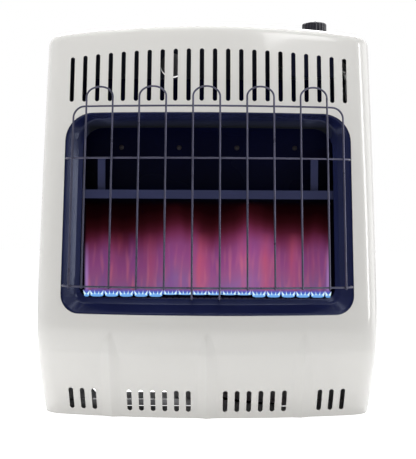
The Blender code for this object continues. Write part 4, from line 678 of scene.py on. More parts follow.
def guard_routes(settings, surface):
    """Node name to the points that its wire follows."""
    def at(x, z, stand):
        return Vector((x, surface.face_y(x, z) - stand, z))

    stand = settings.stand
    proud = stand + settings.wire + GAP
    foot = BOTTOM_BAR_Z - settings.wire
    spring = LOOP_TOP - LOOP_ARCH
    half = GUARD_PITCH / 2
    routes = {}
    for number, centre in loop_centres().items():
        heights = [foot + (spring - foot) * k / 36 for k in range(37)]
        legs = []
        for sign in (-1, 1):
            leg = [at(centre + sign * half, z, proud) for z in heights]
            if number == (GUARD_LOOPS + 1) // 2:
                over = TRIM_INNER_LOW + settings.wire / 2 + 3 * GAP
                lip = -(BEHIND_TRIM + settings.wire / 2)
                hook = [(lip, over - 0.006), (lip, over - 0.0015), (lip + 0.0015, over), (0.0, over + 0.0003),
                        (proud - 0.010, over + 0.001), (proud - 0.003, over + 0.005)]
                bend = [at(centre + sign * half, z, depth) for depth, z in hook] + leg[:2]
                leg = smooth_route(bend) + leg[2:]
            legs.append(leg)
        arch = []
        for k in range(1, 28):
            angle = math.pi - math.pi * k / 28
            arch.append(at(centre + half * math.cos(angle), spring + LOOP_ARCH * math.sin(angle), proud))
        routes[f"guard_loop_{number}"] = legs[0] + arch + legs[1][::-1]
    turn = HOOP_TOP - HOOP_RADIUS
    side = [at(HOOP_HALF, foot + (turn - foot) * k / 36, proud) for k in range(37)]
    for k in range(1, 15):
        angle = math.pi / 2 * k / 14
        x = HOOP_HALF - HOOP_RADIUS * (1 - math.cos(angle))
        side.append(at(x, turn + HOOP_RADIUS * math.sin(angle), proud - (proud - stand) * k / 14))
    reach = HOOP_HALF - HOOP_RADIUS
    top = [at(reach - 2 * reach * k / 40, HOOP_TOP, stand) for k in range(1, 40)]
    routes["guard_hoop"] = side + top + [Vector((-x, y, z)) for x, y, z in reversed(side)]
    for name, z in (("guard_bar_middle", MIDDLE_BAR_Z), ("guard_bar_bottom", BOTTOM_BAR_Z)):
        straight = BAR_END - BAR_BEND
        reach = straight - BAR_BEND
        ends = [at(BAR_END, z, depth) for depth in (GAP - BEHIND_CASING, 0.006, stand - 0.010)]
        ends += [at(BAR_END - 0.004, z, stand - 0.003), at(straight, z, stand), at(reach, z, stand)]
        end = smooth_route(ends)
        middle = [at(reach - 2 * reach * k / 48, z, stand) for k in range(1, 48)]
        routes[name] = end + middle + [Vector((-x, y, z)) for x, y, z in reversed(end)]
    return routes


def make_welds(settings, surface):
    """Small weld beads where two wires cross."""
    shape = bmesh.new()
    stand = settings.stand + settings.wire / 2
    upright = [centre + sign * GUARD_PITCH / 2 for centre in loop_centres().values() for sign in (-1, 1)]
    places = [(x, z) for x in upright for z in (MIDDLE_BAR_Z, BOTTOM_BAR_Z, HOOP_TOP)]
    places += [(sign * HOOP_HALF, z) for sign in (-1, 1) for z in (MIDDLE_BAR_Z, BOTTOM_BAR_Z)]
    for x, z in places:
        y = surface.face_y(x, z) - stand
        bead = Matrix.Translation((x, y, z)) @ Matrix.Diagonal((1.25, 0.8, 1.25, 1.0))
        bmesh.ops.create_icosphere(shape, subdivisions=2, radius=0.5 * settings.wire, matrix=bead)
    return to_mesh(shape, "guard_welds", 80)


# Knob and screws

KNOB_CROWN = 0.001
POINTER_WIDTH = 0.0026
POINTER_HEIGHT = 0.0032
POINTER_MARGIN = 0.007
POINTER_EDGE = 0.0006


def make_knob(settings):
    """Ribbed knob: a fluted ring pulled up in steps that round over into its top."""
    low, high = (Vector(corner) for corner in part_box("control_knob"))
    axis = (low + high) / 2
    radius = (high.x - low.x) / 2
    crown = high.z - KNOB_CROWN
    shape = bmesh.new()
    steps = settings.ribs * 8
    ring = bmesh.ops.create_circle(
        shape, cap_ends=True, segments=steps, radius=radius, matrix=Matrix.Translation((axis.x, axis.y, low.z))
    )["verts"]
    face = ring[0].link_faces[0]
    levels = [(low.z, 0.0, 1.0), (low.z + 0.0008, 0.0, 1.0), (crown - settings.edge, 0.0, 1.0)]
    for k in range(1, 9):
        angle = math.pi / 2 * k / 8
        inward = settings.edge * (1 - math.cos(angle))
        levels.append((crown - settings.edge * (1 - math.sin(angle)), inward, max(0.0, 1 - k / 6)))
    levels.append((crown - 0.0006, settings.edge + 0.003, 0.0))
    for number, (z, inward, flute) in enumerate(levels):
        if number:
            face = extrude_face(shape, face, (0, 0, z - face.verts[0].co.z))
        for vert in face.verts:
            angle = math.atan2(vert.co.y - axis.y, vert.co.x - axis.x)
            wave = 0.5 + 0.5 * math.cos(settings.ribs * angle)
            reach = radius - inward - settings.groove * flute * (1 - wave) ** 2
            vert.co.x = axis.x + reach * math.cos(angle)
            vert.co.y = axis.y + reach * math.sin(angle)
    pointer = bmesh.ops.create_cube(shape, size=1.0)["verts"]
    ridge = Matrix.Translation((axis.x, axis.y - radius / 2 + 0.002, high.z - POINTER_HEIGHT / 2))
    stretch = Matrix.Diagonal((POINTER_WIDTH, radius - POINTER_MARGIN, POINTER_HEIGHT, 1.0))
    bmesh.ops.transform(shape, verts=pointer, matrix=ridge @ stretch)
    edges = list({edge for vert in pointer for edge in vert.link_edges})
    bmesh.ops.bevel(shape, geom=edges, offset=POINTER_EDGE, segments=3, profile=0.5, affect="EDGES", material=-1)
    bmesh.ops.recalc_face_normals(shape, faces=shape.faces)
    return to_mesh(shape, "control_knob_ribbed", 35)


SCREW_HEAD = 0.0022
RECESS_Z = 0.0019
RECESS = (0.0042, 0.0009, 0.0018, 1.0)
RECESS_TAPER = 0.4


def screw_mesh():
    """Pan-head screw along +Z, its head's seat at 0, with a cross recess."""
    shape = bmesh.new()
    profile = [(0.0, SCREW_HEAD), (0.0015, 0.00215), (0.0028, 0.0018), (0.0037, 0.0012), (0.0042, 0.0005),
               (0.0042, 0.0), (0.0016, 0.0), (0.0016, -0.0062), (0.0009, -0.0075), (0.0, -0.0075)]
    verts = [shape.verts.new((radius, 0.0, z)) for radius, z in profile]
    edges = [shape.edges.new(pair) for pair in zip(verts, verts[1:])]
    bmesh.ops.spin(
        shape, geom=verts + edges, axis=(0, 0, 1), cent=(0, 0, 0), dvec=(0, 0, 0), angle=2 * math.pi, steps=32,
        use_merge=True,
    )
    bmesh.ops.remove_doubles(shape, verts=shape.verts, dist=1e-6)
    bmesh.ops.recalc_face_normals(shape, faces=shape.faces)
    mesh = bpy.data.meshes.new("screw")
    shape.to_mesh(mesh)
    shape.free()
    recesses = []
    for turn in (0, math.pi / 2):
        recess = bmesh.new()
        place = Matrix.Translation((0, 0, RECESS_Z)) @ Matrix.Rotation(turn, 4, "Z") @ Matrix.Diagonal(RECESS)
        bmesh.ops.create_cube(recess, size=1.0, matrix=place)
        for vert in recess.verts:
            if vert.co.z < RECESS_Z:
                vert.co.xy *= RECESS_TAPER
        recesses.append(cutter_object(recess, f"screw_recess_{len(recesses)}"))
    mesh = apply_modifiers("screw", mesh, [], recesses)
    mesh.shade_smooth()
    mesh.set_sharp_from_angle(angle=math.radians(35))
    return mesh


# Solids that keep their shape

SOFT_ANGLE = 30.0


def softened(node, bevel):
    """A merged copy of a solid's mesh, its flat faces joined and its edges slightly rounded."""
    source = frame["nodes"][node].data
    shape = bmesh.new()
    shape.from_mesh(source)
    bmesh.ops.remove_doubles(shape, verts=shape.verts, dist=2e-6)
    if bevel:
        bmesh.ops.dissolve_limit(shape, angle_limit=math.radians(0.6), verts=shape.verts, edges=shape.edges)
    mesh = to_mesh(shape, node, SOFT_ANGLE)
    if not bevel:
        return mesh
    step = ("BEVEL", {"width": bevel, "segments": 2, "limit_method": "ANGLE",
                      "angle_limit": math.radians(SOFT_ANGLE), "harden_normals": True, "use_clamp_overlap": True})
    return apply_modifiers(node + "_soft", mesh, [step])


LEAD_HOLE = (-0.062, CASING_HEIGHT - 0.051)
LEAD_HOLE_RADIUS = 0.021
FLAP_Y = CASING_DEPTH / 2 - SHEET - CASING_WALL
FLAP_BEND = math.radians(12)


def rear_panel_flap():
    """Half-punched disc that hangs inside the rear panel's round hole, bent in from the hole's top."""
    shape = bmesh.new()
    radius = LEAD_HOLE_RADIUS - 0.0002
    hinge = Matrix.Translation((LEAD_HOLE[0], FLAP_Y, LEAD_HOLE[1] + radius))
    turn = hinge @ Matrix.Rotation(-FLAP_BEND, 4, "X") @ Matrix.Translation((0, 0, -radius))
    ring = bmesh.ops.create_circle(
        shape, cap_ends=True, segments=40, radius=radius, matrix=turn @ Matrix.Rotation(math.pi / 2, 4, "X")
    )["verts"]
    extrude_face(shape, ring[0].link_faces[0], turn.to_3x3() @ Vector((0, -SHEET, 0)))
    bmesh.ops.recalc_face_normals(shape, faces=shape.faces)
    return to_mesh(shape, "rear_panel_flap", 40)


# Shader groups

def shader_group(name, inputs, outputs):
    """A new node group with named sockets, or None when it has been built already."""
    if bpy.data.node_groups.get(name):
        return None
    group = bpy.data.node_groups.new(name, "ShaderNodeTree")
    for label, kind, default in inputs:
        socket = group.interface.new_socket(name=label, in_out="INPUT", socket_type=kind)
        if default is not None:
            socket.default_value = default
    for label, kind in outputs:
        group.interface.new_socket(name=label, in_out="OUTPUT", socket_type=kind)
    return group


def put(tree, socket, value):
    """Joins an input to another node's output, or sets its own value."""
    if isinstance(value, bpy.types.NodeSocket):
        tree.links.new(value, socket)
    else:
        socket.default_value = value


def fill(tree, node, **values):
    """Sets or joins inputs by name, with underscores for spaces."""
    for label, value in values.items():
        put(tree, node.inputs[label.replace("_", " ")], value)


def add_node(tree, kind, **values):
    """Adds a node; capitalised names are its inputs, others its own settings."""
    made = tree.nodes.new(kind)
    for key, value in values.items():
        if key[0].isupper():
            fill(tree, made, **{key: value})
        else:
            setattr(made, key, value)
    return made


def maths(tree, operation, *values, clamp=False):
    node = add_node(tree, "ShaderNodeMath", operation=operation, use_clamp=clamp)
    for socket, value in zip(node.inputs, values):
        put(tree, socket, value)
    return node.outputs["Value"]


def ranged(tree, value, start, end, low=0.0, high=1.0, **values):
    """A value that goes from low to high while the given one goes from start to end."""
    return add_node(
        tree, "ShaderNodeMapRange", Value=value, From_Min=start, From_Max=end, To_Min=low, To_Max=high, **values
    ).outputs["Result"]


def mixed(tree, factor, first, second, blend="MIX"):
    """A mix of two colours; the node's colour sockets go by number, since their names repeat."""
    node = add_node(tree, "ShaderNodeMix", data_type="RGBA", blend_type=blend)
    for index, value in ((0, factor), (6, first), (7, second)):
        put(tree, node.inputs[index], value)
    return node.outputs[2]


def axes(tree, vector):
    return add_node(tree, "ShaderNodeSeparateXYZ", Vector=vector).outputs


def noise(tree, vector, **values):
    return add_node(tree, "ShaderNodeTexNoise", Vector=vector, **values).outputs["Fac"]


def bumped(tree, height, strength, distance):
    return add_node(
        tree, "ShaderNodeBump", Height=height, Strength=strength, Distance=distance
    ).outputs["Normal"]


def grain_group():
    """Fine even unevenness, as on sprayed or cast surfaces."""
    group = shader_group(
        "Fine grain", [("Vector", "NodeSocketVector", None), ("Scale", "NodeSocketFloat", 500.0)],
        [("Height", "NodeSocketFloat")],
    )
    if group:
        start, end = add_node(group, "NodeGroupInput").outputs, add_node(group, "NodeGroupOutput")
        fill(group, end, Height=noise(group, start["Vector"], Scale=start["Scale"], Detail=2.0, Roughness=0.55))
    return bpy.data.node_groups["Fine grain"]


def mottle_group():
    """Broad, soft change between two colours, with a value for roughness beside it."""
    group = shader_group(
        "Mottle",
        [("Vector", "NodeSocketVector", None), ("Scale", "NodeSocketFloat", 8.0),
         ("Low", "NodeSocketColor", None), ("High", "NodeSocketColor", None),
         ("Smooth", "NodeSocketFloat", 0.2), ("Rough", "NodeSocketFloat", 0.3)],
        [("Color", "NodeSocketColor"), ("Roughness", "NodeSocketFloat")],
    )
    if group:
        start, end = add_node(group, "NodeGroupInput").outputs, add_node(group, "NodeGroupOutput")
        drift = noise(group, start["Vector"], Scale=start["Scale"], Detail=2.0, Roughness=0.5)
        spread = ranged(group, drift, 0.2, 0.8, interpolation_type="SMOOTHSTEP")
        rough = ranged(group, spread, 0.0, 1.0, start["Smooth"], start["Rough"])
        fill(group, end, Color=mixed(group, spread, start["Low"], start["High"]), Roughness=rough)
    return bpy.data.node_groups["Mottle"]


def spangle_group():
    """Crystal facets of hot-dipped zinc."""
    group = shader_group(
        "Zinc spangle", [("Vector", "NodeSocketVector", None), ("Scale", "NodeSocketFloat", 90.0)],
        [("Facet", "NodeSocketFloat"), ("Height", "NodeSocketFloat")],
    )
    if group:
        start, end = add_node(group, "NodeGroupInput").outputs, add_node(group, "NodeGroupOutput")
        cells = add_node(group, "ShaderNodeTexVoronoi", Vector=start["Vector"], Scale=start["Scale"])
        split = add_node(group, "ShaderNodeSeparateColor", Color=cells.outputs["Color"]).outputs
        fine = noise(group, start["Vector"], Scale=400.0, Detail=2.0)
        fill(group, end, Facet=split["Red"], Height=maths(group, "ADD", split["Green"], fine))
    return bpy.data.node_groups["Zinc spangle"]


# Finishes

def blank_material(name):
    """A material with an object-space coordinate and a shader, or the one that is there already."""
    found = bpy.data.materials.get(name)
    if found:
        return found, None, None
    made = bpy.data.materials.new(name)
    made.use_nodes = True
    tree = made.node_tree
    shader = tree.nodes["Principled BSDF"]
    where = add_node(tree, "ShaderNodeTexCoord")
    return made, shader, where.outputs["Object"]


def place_group(tree, group, where, **values):
    return add_node(tree, "ShaderNodeGroup", node_tree=group, Vector=where, **values).outputs


def coated(name, low, high, smooth, rough, mottle, grain, bump, depth=0.0001, **looks):
    """A finish whose colour and roughness drift softly over it, with a fine grain in its surface."""
    made, shader, where = blank_material(name)
    if shader:
        tree = made.node_tree
        broad = place_group(
            tree, mottle_group(), where, Scale=mottle, Low=(*low, 1), High=(*high, 1), Smooth=smooth, Rough=rough
        )
        fine = place_group(tree, grain_group(), where, Scale=grain)
        fill(tree, shader, Base_Color=broad["Color"], Roughness=broad["Roughness"],
             Normal=bumped(tree, fine["Height"], bump, depth), **looks)
    return made


def shade(tint, factor):
    return tuple(min(1.0, value * factor) for value in tint)


def tinted(name, tint, low, high, *numbers, **looks):
    """A coat whose colour drifts between two shades of one tint."""
    return coated(name, shade(tint, low), shade(tint, high), *numbers, **looks)


# Low and high colour, low and high roughness, scales of mottle and grain, strength and depth of grain, other looks
PLAIN_FINISHES = {
    "Burner coat": ((0.030, 0.028, 0.034), (0.060, 0.050, 0.052), 0.5, 0.68, 30.0, 900.0, 0.2, 0.0002, {}),
    "Zinc plate": ((0.50, 0.50, 0.51), (0.62, 0.61, 0.58), 0.24, 0.40, 60.0, 1500.0, 0.1, 0.0001, {"Metallic": 0.95}),
    "Cast alloy": ((0.42, 0.42, 0.42), (0.52, 0.52, 0.51), 0.42, 0.55, 50.0, 1300.0, 0.5, 0.0003, {"Metallic": 0.85}),
    "Drawn alloy tube": (
        (0.58, 0.58, 0.57), (0.68, 0.67, 0.65), 0.22, 0.34, 45.0, 1100.0, 0.08, 0.0001, {"Metallic": 0.95}
    ),
    "Copper": ((0.50, 0.24, 0.14), (0.66, 0.36, 0.22), 0.24, 0.42, 70.0, 1100.0, 0.08, 0.0001, {"Metallic": 1.0}),
    "Brass": ((0.50, 0.36, 0.12), (0.64, 0.48, 0.18), 0.22, 0.36, 80.0, 1500.0, 0.08, 0.0001, {"Metallic": 1.0}),
    "Silicone cable": ((0.008, 0.008, 0.009), (0.014, 0.013, 0.014), 0.5, 0.62, 60.0, 1200.0, 0.2, 0.0002, {}),
    "Blued steel": ((0.012, 0.009, 0.013), (0.022, 0.017, 0.024), 0.42, 0.6, 60.0, 900.0, 0.05, 0.0001, {}),
    "Glazed ceramic": (
        (0.70, 0.67, 0.60), (0.78, 0.76, 0.71), 0.16, 0.26, 120.0, 700.0, 0.06, 0.0001, {"Coat_Weight": 0.3}
    ),
}


def plain_finish(name):
    *numbers, looks = PLAIN_FINISHES[name]
    return coated(name, *numbers, **looks)


def white_enamel(settings):
    return tinted(
        "White enamel", settings.enamel, 0.994, 1.004, 0.28, 0.31, 3.0, 260.0, settings.peel, Coat_Weight=0.8,
        Coat_Roughness=0.07,
    )


# Painted shade, partly sooty: colour and bounds of the darkening over the trim's top inner slope and lip.
LIP_SHADE_AND_SOOT = (0.0010, 0.0012, 0.0022, 1)
LIP_SHADE_FADE = (0.477, 0.462)
LIP_SHADE_SIDES = (0.205, 0.190)
LIP_SHADE_FOOT = (0.440, 0.450)


def navy_enamel(settings):
    """Glossy navy; where the frame hangs over the hot gas, the top of its inner slope and lip is darkened and dulled:
    painted shade, partly sooty.
    """
    made = bpy.data.materials.get("Navy enamel")
    if made:
        return made
    made = tinted(
        "Navy enamel", settings.enamel, 0.85, 1.15, 0.16, 0.22, 9.0, 420.0, 0.03, Specular_IOR_Level=0.34,
        Specular_Tint=(0.70, 0.78, 1.0, 1.0),
    )
    tree = made.node_tree
    shader = tree.nodes["Principled BSDF"]
    coat, even = (shader.inputs[label].links[0].from_socket for label in ("Base Color", "Roughness"))
    where = axes(tree, next(node for node in tree.nodes if node.type == "TEX_COORD").outputs["Object"])
    # Painted shade, partly sooty: darker towards the top of the inner lip, between its sides.
    middle = ranged(tree, maths(tree, "ABSOLUTE", where["X"]), *LIP_SHADE_SIDES)
    lip_shade_and_soot = maths(tree, "MULTIPLY", ranged(tree, where["Z"], *LIP_SHADE_FADE), middle)
    lip_shade_and_soot = maths(tree, "MULTIPLY", lip_shade_and_soot, ranged(tree, where["Z"], *LIP_SHADE_FOOT))
    dull = maths(tree, "MAXIMUM", even, ranged(tree, lip_shade_and_soot, 0.0, 1.0, high=0.85))
    fill(tree, shader, Base_Color=mixed(tree, lip_shade_and_soot, coat, LIP_SHADE_AND_SOOT), Roughness=dull)
    return made


def firebox_enamel(settings):
    return tinted(
        "Firebox enamel", settings.firebox, 0.7, 1.3, 0.22, 0.34, 6.0, 420.0, 0.04, Specular_IOR_Level=0.08
    )


def shelf_enamel(settings):
    return tinted("Shelf enamel", settings.shelf, 0.85, 1.15, 0.30, 0.40, 9.0, 420.0, 0.04, Specular_IOR_Level=0.3)


def guard_wire(settings):
    return tinted("Guard wire", settings.finish, 0.85, 1.15, 0.26, 0.38, 40.0, 900.0, 0.08, Metallic=0.55)


def black_plastic(settings):
    return tinted("Black plastic", settings.plastic, 0.9, 1.25, 0.34, 0.46, 40.0, 1400.0, 0.3, 0.0002)


SPANGLE_SCALE = 110.0
SPANGLE_BUMP = (0.12, 0.0003)
# Painted light and shade on the floor pan: from dark at the left to light at the right, between these X.
PAN_LIGHT_FADE = (-0.09, 0.03)
# Painted shade on the rear panel's inner face: it fades in between these heights.
INNER_SHADE_FADE = (0.44, 0.50)


def zinc_with_painted_light():
    """Zinc with painted light and shade: dark by the hose's cut-out, light on the valve's side, softly mottled."""
    made, shader, where = blank_material("Dusty zinc")
    if shader:
        tree = made.node_tree
        facets = place_group(tree, spangle_group(), where, Scale=SPANGLE_SCALE)
        # Painted light and shade: the pan goes from dark by the cut-out to light on the valve's side.
        across = ranged(tree, axes(tree, where)["X"], *PAN_LIGHT_FADE)
        pan_light_and_mottle = maths(tree, "MULTIPLY_ADD", noise(tree, where, Scale=60.0, Detail=3.0), 0.14, across)
        fill(tree, shader, Base_Color=mixed(tree, pan_light_and_mottle, (0.035, 0.035, 0.037, 1), (0.80, 0.80, 0.82, 1)),
             Roughness=ranged(tree, across, 0.0, 1.0, 0.80, 0.55),
             Normal=bumped(tree, facets["Height"], *SPANGLE_BUMP), Specular_IOR_Level=0.06)
    return made


def galvanised():
    """Zinc sheet with its spangle, darker on its outward face, with painted shade inside its upper part."""
    made, shader, where = blank_material("Galvanised sheet")
    if shader:
        tree = made.node_tree
        facets = place_group(tree, spangle_group(), where, Scale=SPANGLE_SCALE)
        facing = axes(tree, where.node.outputs["Normal"])["Y"]
        # Painted shade: the upper part of the inner face is tinted dark navy.
        shade_height = ranged(tree, axes(tree, where)["Z"], *INNER_SHADE_FADE)
        inside = maths(tree, "MULTIPLY", shade_height, ranged(tree, facing, -0.3, -0.7))
        zinc = mixed(tree, facets["Facet"], (0.52, 0.53, 0.54, 1), (0.68, 0.69, 0.70, 1))
        zinc = mixed(tree, ranged(tree, facing, 0.3, 0.7, high=0.8), zinc, (0.16, 0.165, 0.17, 1))
        zinc = mixed(tree, inside, zinc, (0.030, 0.034, 0.060, 1))
        fill(tree, shader, Base_Color=zinc, Roughness=ranged(tree, facets["Facet"], 0.0, 1.0, 0.42, 0.58),
             Normal=bumped(tree, facets["Height"], *SPANGLE_BUMP), Metallic=0.2)
    return made


# Flames

BURNER_Y = 0.0075
FLAME_HALF = 0.2005
CURTAIN_FOOT = 0.1965
LOW_PART = (-0.063, 0.067)
TONGUES = ((-0.0483, 0.034, 0.150), (0.0724, 0.040, 0.175), (0.180, 0.038, 0.060), (-0.098, 0.030, 0.020))
BRIGHT_PARTS = ((-0.052, 0.030, 0.20), (-0.008, 0.022, 0.22), (0.064, 0.050, 0.38), (0.140, 0.016, 0.10))
WARM_PARTS = (
    (-0.011, 0.012, 0.42), (0.096, 0.010, 0.55), (0.142, 0.010, 0.38), (-0.158, 0.008, 0.22), (0.060, 0.010, 0.15),
)


def flame_curtain(settings):
    """Two thin wavy sheets of glow that stand over the burner, dark at their top as painted shade."""
    shape = bmesh.new()
    for offset, phase in ((-0.006, 0.0), (0.008, 1.7)):
        made = bmesh.ops.create_grid(shape, x_segments=120, y_segments=24, size=1.0)["verts"]
        for vert in made:
            across, up = vert.co.x, (vert.co.y + 1) / 2
            x = FLAME_HALF * across
            z = CURTAIN_FOOT + (settings.top - CURTAIN_FOOT) * up
            ripple = 0.0025 * math.sin(95 * x + phase) + 0.0015 * math.sin(212 * x + 9 * up + phase)
            vert.co = (x, BURNER_Y + offset * (1 - 0.4 * up) + ripple * (0.3 + 0.7 * up), z)
    return to_mesh(shape, "flame_curtain", 80)


def crown_places(settings):
    """Middles of the crowns, each with its width and whether it is one of the low ones in the middle."""
    count = int(FLAME_HALF / settings.pitch)
    places = [(settings.pitch * (k + 0.5), settings.pitch) for k in range(-count, count)]
    rest = FLAME_HALF - count * settings.pitch
    places += [(sign * (FLAME_HALF - rest / 2), rest) for sign in (-1, 1)]
    return [(x, width, LOW_PART[0] < x < LOW_PART[1]) for x, width in places]


def flame_feet(settings):
    """Soft blue feet of the crowns, wide at the bottom; the middle ones are thin."""
    shape = bmesh.new()
    for x, width, low in crown_places(settings):
        thick = 0.0030 if low else 0.0058
        middle = settings.foot + (0.0050 if low else 0.0029)
        made = bmesh.ops.create_uvsphere(shape, u_segments=16, v_segments=10, radius=1.0)["verts"]
        for vert in made:
            squared = math.copysign(abs(vert.co.x) ** 0.6, vert.co.x)
            vert.co = (squared * width * (0.50 if low else 0.445), vert.co.y * 0.005, vert.co.z * thick / 2)
        bmesh.ops.translate(shape, verts=made, vec=(x, BURNER_Y - 0.010, middle))
    return to_mesh(shape, "flame_feet", 80)


def flame_threads(settings):
    """Thin bright threads of the crowns: leaning outwards at the sides, upright between."""
    shape = bmesh.new()
    for number, (x, width, low) in enumerate(crown_places(settings)):
        count = max(2, round(4 * width / settings.pitch))
        for k in range(count):
            part = k / (count - 1) * 2 - 1
            outer = abs(part) > 0.9
            tall = settings.crown * (0.66 if outer else 0.54) * (1 + 0.14 * math.sin(5.3 * number + 2.1 * k))
            thick = 0.0016 if outer else 0.0010
            made = bmesh.ops.create_cone(
                shape, cap_ends=True, segments=8, radius1=thick, radius2=0.25 * thick, depth=tall
            )["verts"]
            foot = settings.foot + (0.0045 if low else 0.0034)
            lean = Matrix.Rotation(math.radians(24) * part, 4, "Y")
            place = Matrix.Translation((x + part * width * 0.40, BURNER_Y - 0.013, foot + tall / 2))
            bmesh.ops.transform(shape, verts=made, matrix=place @ lean)
    return to_mesh(shape, "flame_threads", 80)


def flame_mantle(settings):
    """The blue haze that each crown stands in."""
    shape = bmesh.new()
    for x, width, low in crown_places(settings):
        tall = settings.crown * (0.62 if low else 0.95)
        made = bmesh.ops.create_uvsphere(shape, u_segments=14, v_segments=10, radius=1.0)["verts"]
        for vert in made:
            vert.co = (vert.co.x * width * 0.54, vert.co.y * 0.004, vert.co.z * tall / 2)
        middle = settings.foot + (0.0040 if low else 0.0010) + tall / 2
        bmesh.ops.translate(shape, verts=made, vec=(x, BURNER_Y - 0.008, middle))
    return to_mesh(shape, "flame_mantle", 80)


def glowing_material(name):
    """A finish that only glows, with the parts that its colour and veil are joined to."""
    made, shader, where = blank_material(name)
    if shader:
        fill(made.node_tree, shader, Base_Color=(0, 0, 0, 1), Roughness=1.0, Specular_IOR_Level=0.0,
             Emission_Strength=1.0)
    return made, shader, where


def height_ramp(tree, where, low, high, stops):
    """Colours by height from low to high; each stop is (part, colour)."""
    return colour_stops(tree, ranged(tree, axes(tree, where)["Z"], low, high), stops)


def colour_stops(tree, value, stops):
    ramp = add_node(tree, "ShaderNodeValToRGB", Fac=value)
    elements = ramp.color_ramp.elements
    for element, (position, tint) in zip(elements, (stops[0], stops[-1])):
        element.position, element.color = position, (*tint, 1)
    for position, tint in stops[1:-1]:
        elements.new(position).color = (*tint, 1)
    return ramp.outputs["Color"]


def glow_finish(settings):
    """Thin glow: streaked, strongest low down and fading to near black at its uneven top, where its half-solid dark
    sheet is painted shade.
    """
    made, shader, where = glowing_material("Flame glow")
    if not shader:
        return made
    tree = made.node_tree
    place = axes(tree, where)

    def times(first, second):
        return maths(tree, "MULTIPLY", first, second)

    def streaks(scale, start, end, strength, detail=1.0):
        stretched = add_node(tree, "ShaderNodeMapping", Vector=where, Scale=scale).outputs["Vector"]
        return ranged(tree, noise(tree, stretched, Scale=1.0, Detail=detail), start, end, high=strength)

    def bumps(places):
        """Sum of smooth rises across the flames; each is (middle, half width, strength)."""
        total = 0.0
        for middle, half, strength in places:
            away = maths(tree, "MULTIPLY_ADD", place["X"], 1 / half, -middle / half)
            rise = maths(tree, "POWER", 2.718, times(times(away, away), -1.0))
            total = maths(tree, "MULTIPLY_ADD", rise, strength, total)
        return total

    up = ranged(tree, place["Z"], CURTAIN_FOOT, settings.top)
    aside = maths(tree, "ABSOLUTE", place["X"])
    drift = maths(tree, "SUBTRACT", streaks((33.0, 3.0, 7.0), 0.25, 0.75, 0.10), 0.05)
    level = maths(tree, "SUBTRACT", up, maths(tree, "ADD", bumps(TONGUES), drift))
    glow = colour_stops(tree, level, [
        (0.0, (0.225, 0.098, 0.262)), (0.06, (0.240, 0.090, 0.235)), (0.157, settings.low),
        (0.268, (0.242, 0.060, 0.196)), (0.378, (0.210, 0.050, 0.160)), (0.489, settings.middle),
        (0.545, (0.104, 0.0155, 0.046)), (0.599, (0.064, 0.0082, 0.020)), (0.655, (0.037, 0.0044, 0.0090)),
        (0.710, settings.high), (0.821, (0.0062, 0.0005, 0.0010)), (1.0, (0.0015, 0.0001, 0.0003)),
    ])
    fade = ranged(tree, up, 0.66, 0.36)
    lower = ranged(tree, up, 0.55, 0.20)
    edge = ranged(tree, aside, 0.1925, 0.1985, high=0.9)
    warmth = maths(tree, "ADD", bumps(WARM_PARTS), streaks((60.0, 4.0, 6.0), 0.52, 0.80, 0.35))
    layers = (
        (times(warmth, fade), (0.520, 0.085, 0.120)),
        (times(streaks((45.0, 7.0, 5.0), 0.50, 0.80, 0.45), fade), (0.120, 0.055, 0.270)),
        (times(streaks((150.0, 3.0, 22.0), 0.54, 0.80, 0.60, 0.0), lower), (0.50, 0.140, 0.210)),
        (times(edge, lower), (0.52, 0.30, 0.72)),
    )
    for mask, tint in layers:
        glow = mixed(tree, mask, glow, (*tint, 1))
    bright = maths(tree, "ADD", bumps(BRIGHT_PARTS), 0.92)
    # Painted shade: near its top the glow is near black but stays half solid, darkening the firebox behind it.
    veil = colour_stops(tree, up, [
        (0.0, (0.35,) * 3), (0.04, (0.74,) * 3), (0.70, (0.72,) * 3), (0.95, (0.60,) * 3), (1.0, (0.45,) * 3),
    ])
    side = ranged(tree, aside, FLAME_HALF, FLAME_HALF - 0.004)
    fill(tree, shader, Emission_Color=mixed(tree, 1.0, glow, bright, "MULTIPLY"),
         Alpha=times(times(veil, side), ranged(tree, up, 1.0, 0.93)))
    return made


def crown_finish(name, settings, stops, veil):
    """A glow that changes with height over the crowns; veil gives (part, how solid it looks)."""
    made, shader, where = glowing_material(name)
    if shader:
        tree = made.node_tree
        low, high = settings.foot, settings.foot + settings.crown
        fill(tree, shader, Emission_Color=height_ramp(tree, where, low, high, stops),
             Alpha=height_ramp(tree, where, low, high, [(part, (value,) * 3) for part, value in veil]))
    return made


def feet_finish(settings):
    band = tuple(settings.band)
    stops = [(0.0, shade(band, 0.75)), (0.18, shade(band, 1.05)), (0.42, (0.24, 0.50, 0.92)), (0.6, (0.30, 0.45, 0.85))]
    return crown_finish("Blue feet", settings, stops, [(0.0, 0.75), (0.12, 0.95), (0.5, 0.7)])


def thread_finish(settings):
    bright = tuple(settings.thread)
    stops = [(0.2, shade(bright, 1.25)), (0.55, shade(bright, 1.2)), (0.85, (0.36, 0.40, 0.86))]
    return crown_finish("Bright threads", settings, stops, [(0.2, 0.95), (0.6, 0.8), (0.95, 0.1)])


def mantle_finish(settings):
    stops = [(0.0, (0.035, 0.085, 0.34)), (0.45, (0.075, 0.19, 0.66)), (0.75, (0.11, 0.11, 0.50)),
             (1.0, (0.20, 0.09, 0.36))]
    return crown_finish("Blue haze", settings, stops, [(0.0, 0.25), (0.3, 0.75), (0.7, 0.65), (1.0, 0.15)])


# Stage

def mixed_shaders(tree, factor, first, second):
    node = add_node(tree, "ShaderNodeMixShader", Fac=factor)
    for index, shader in ((1, first), (2, second)):
        tree.links.new(shader.outputs[0], node.inputs[index])
    return node


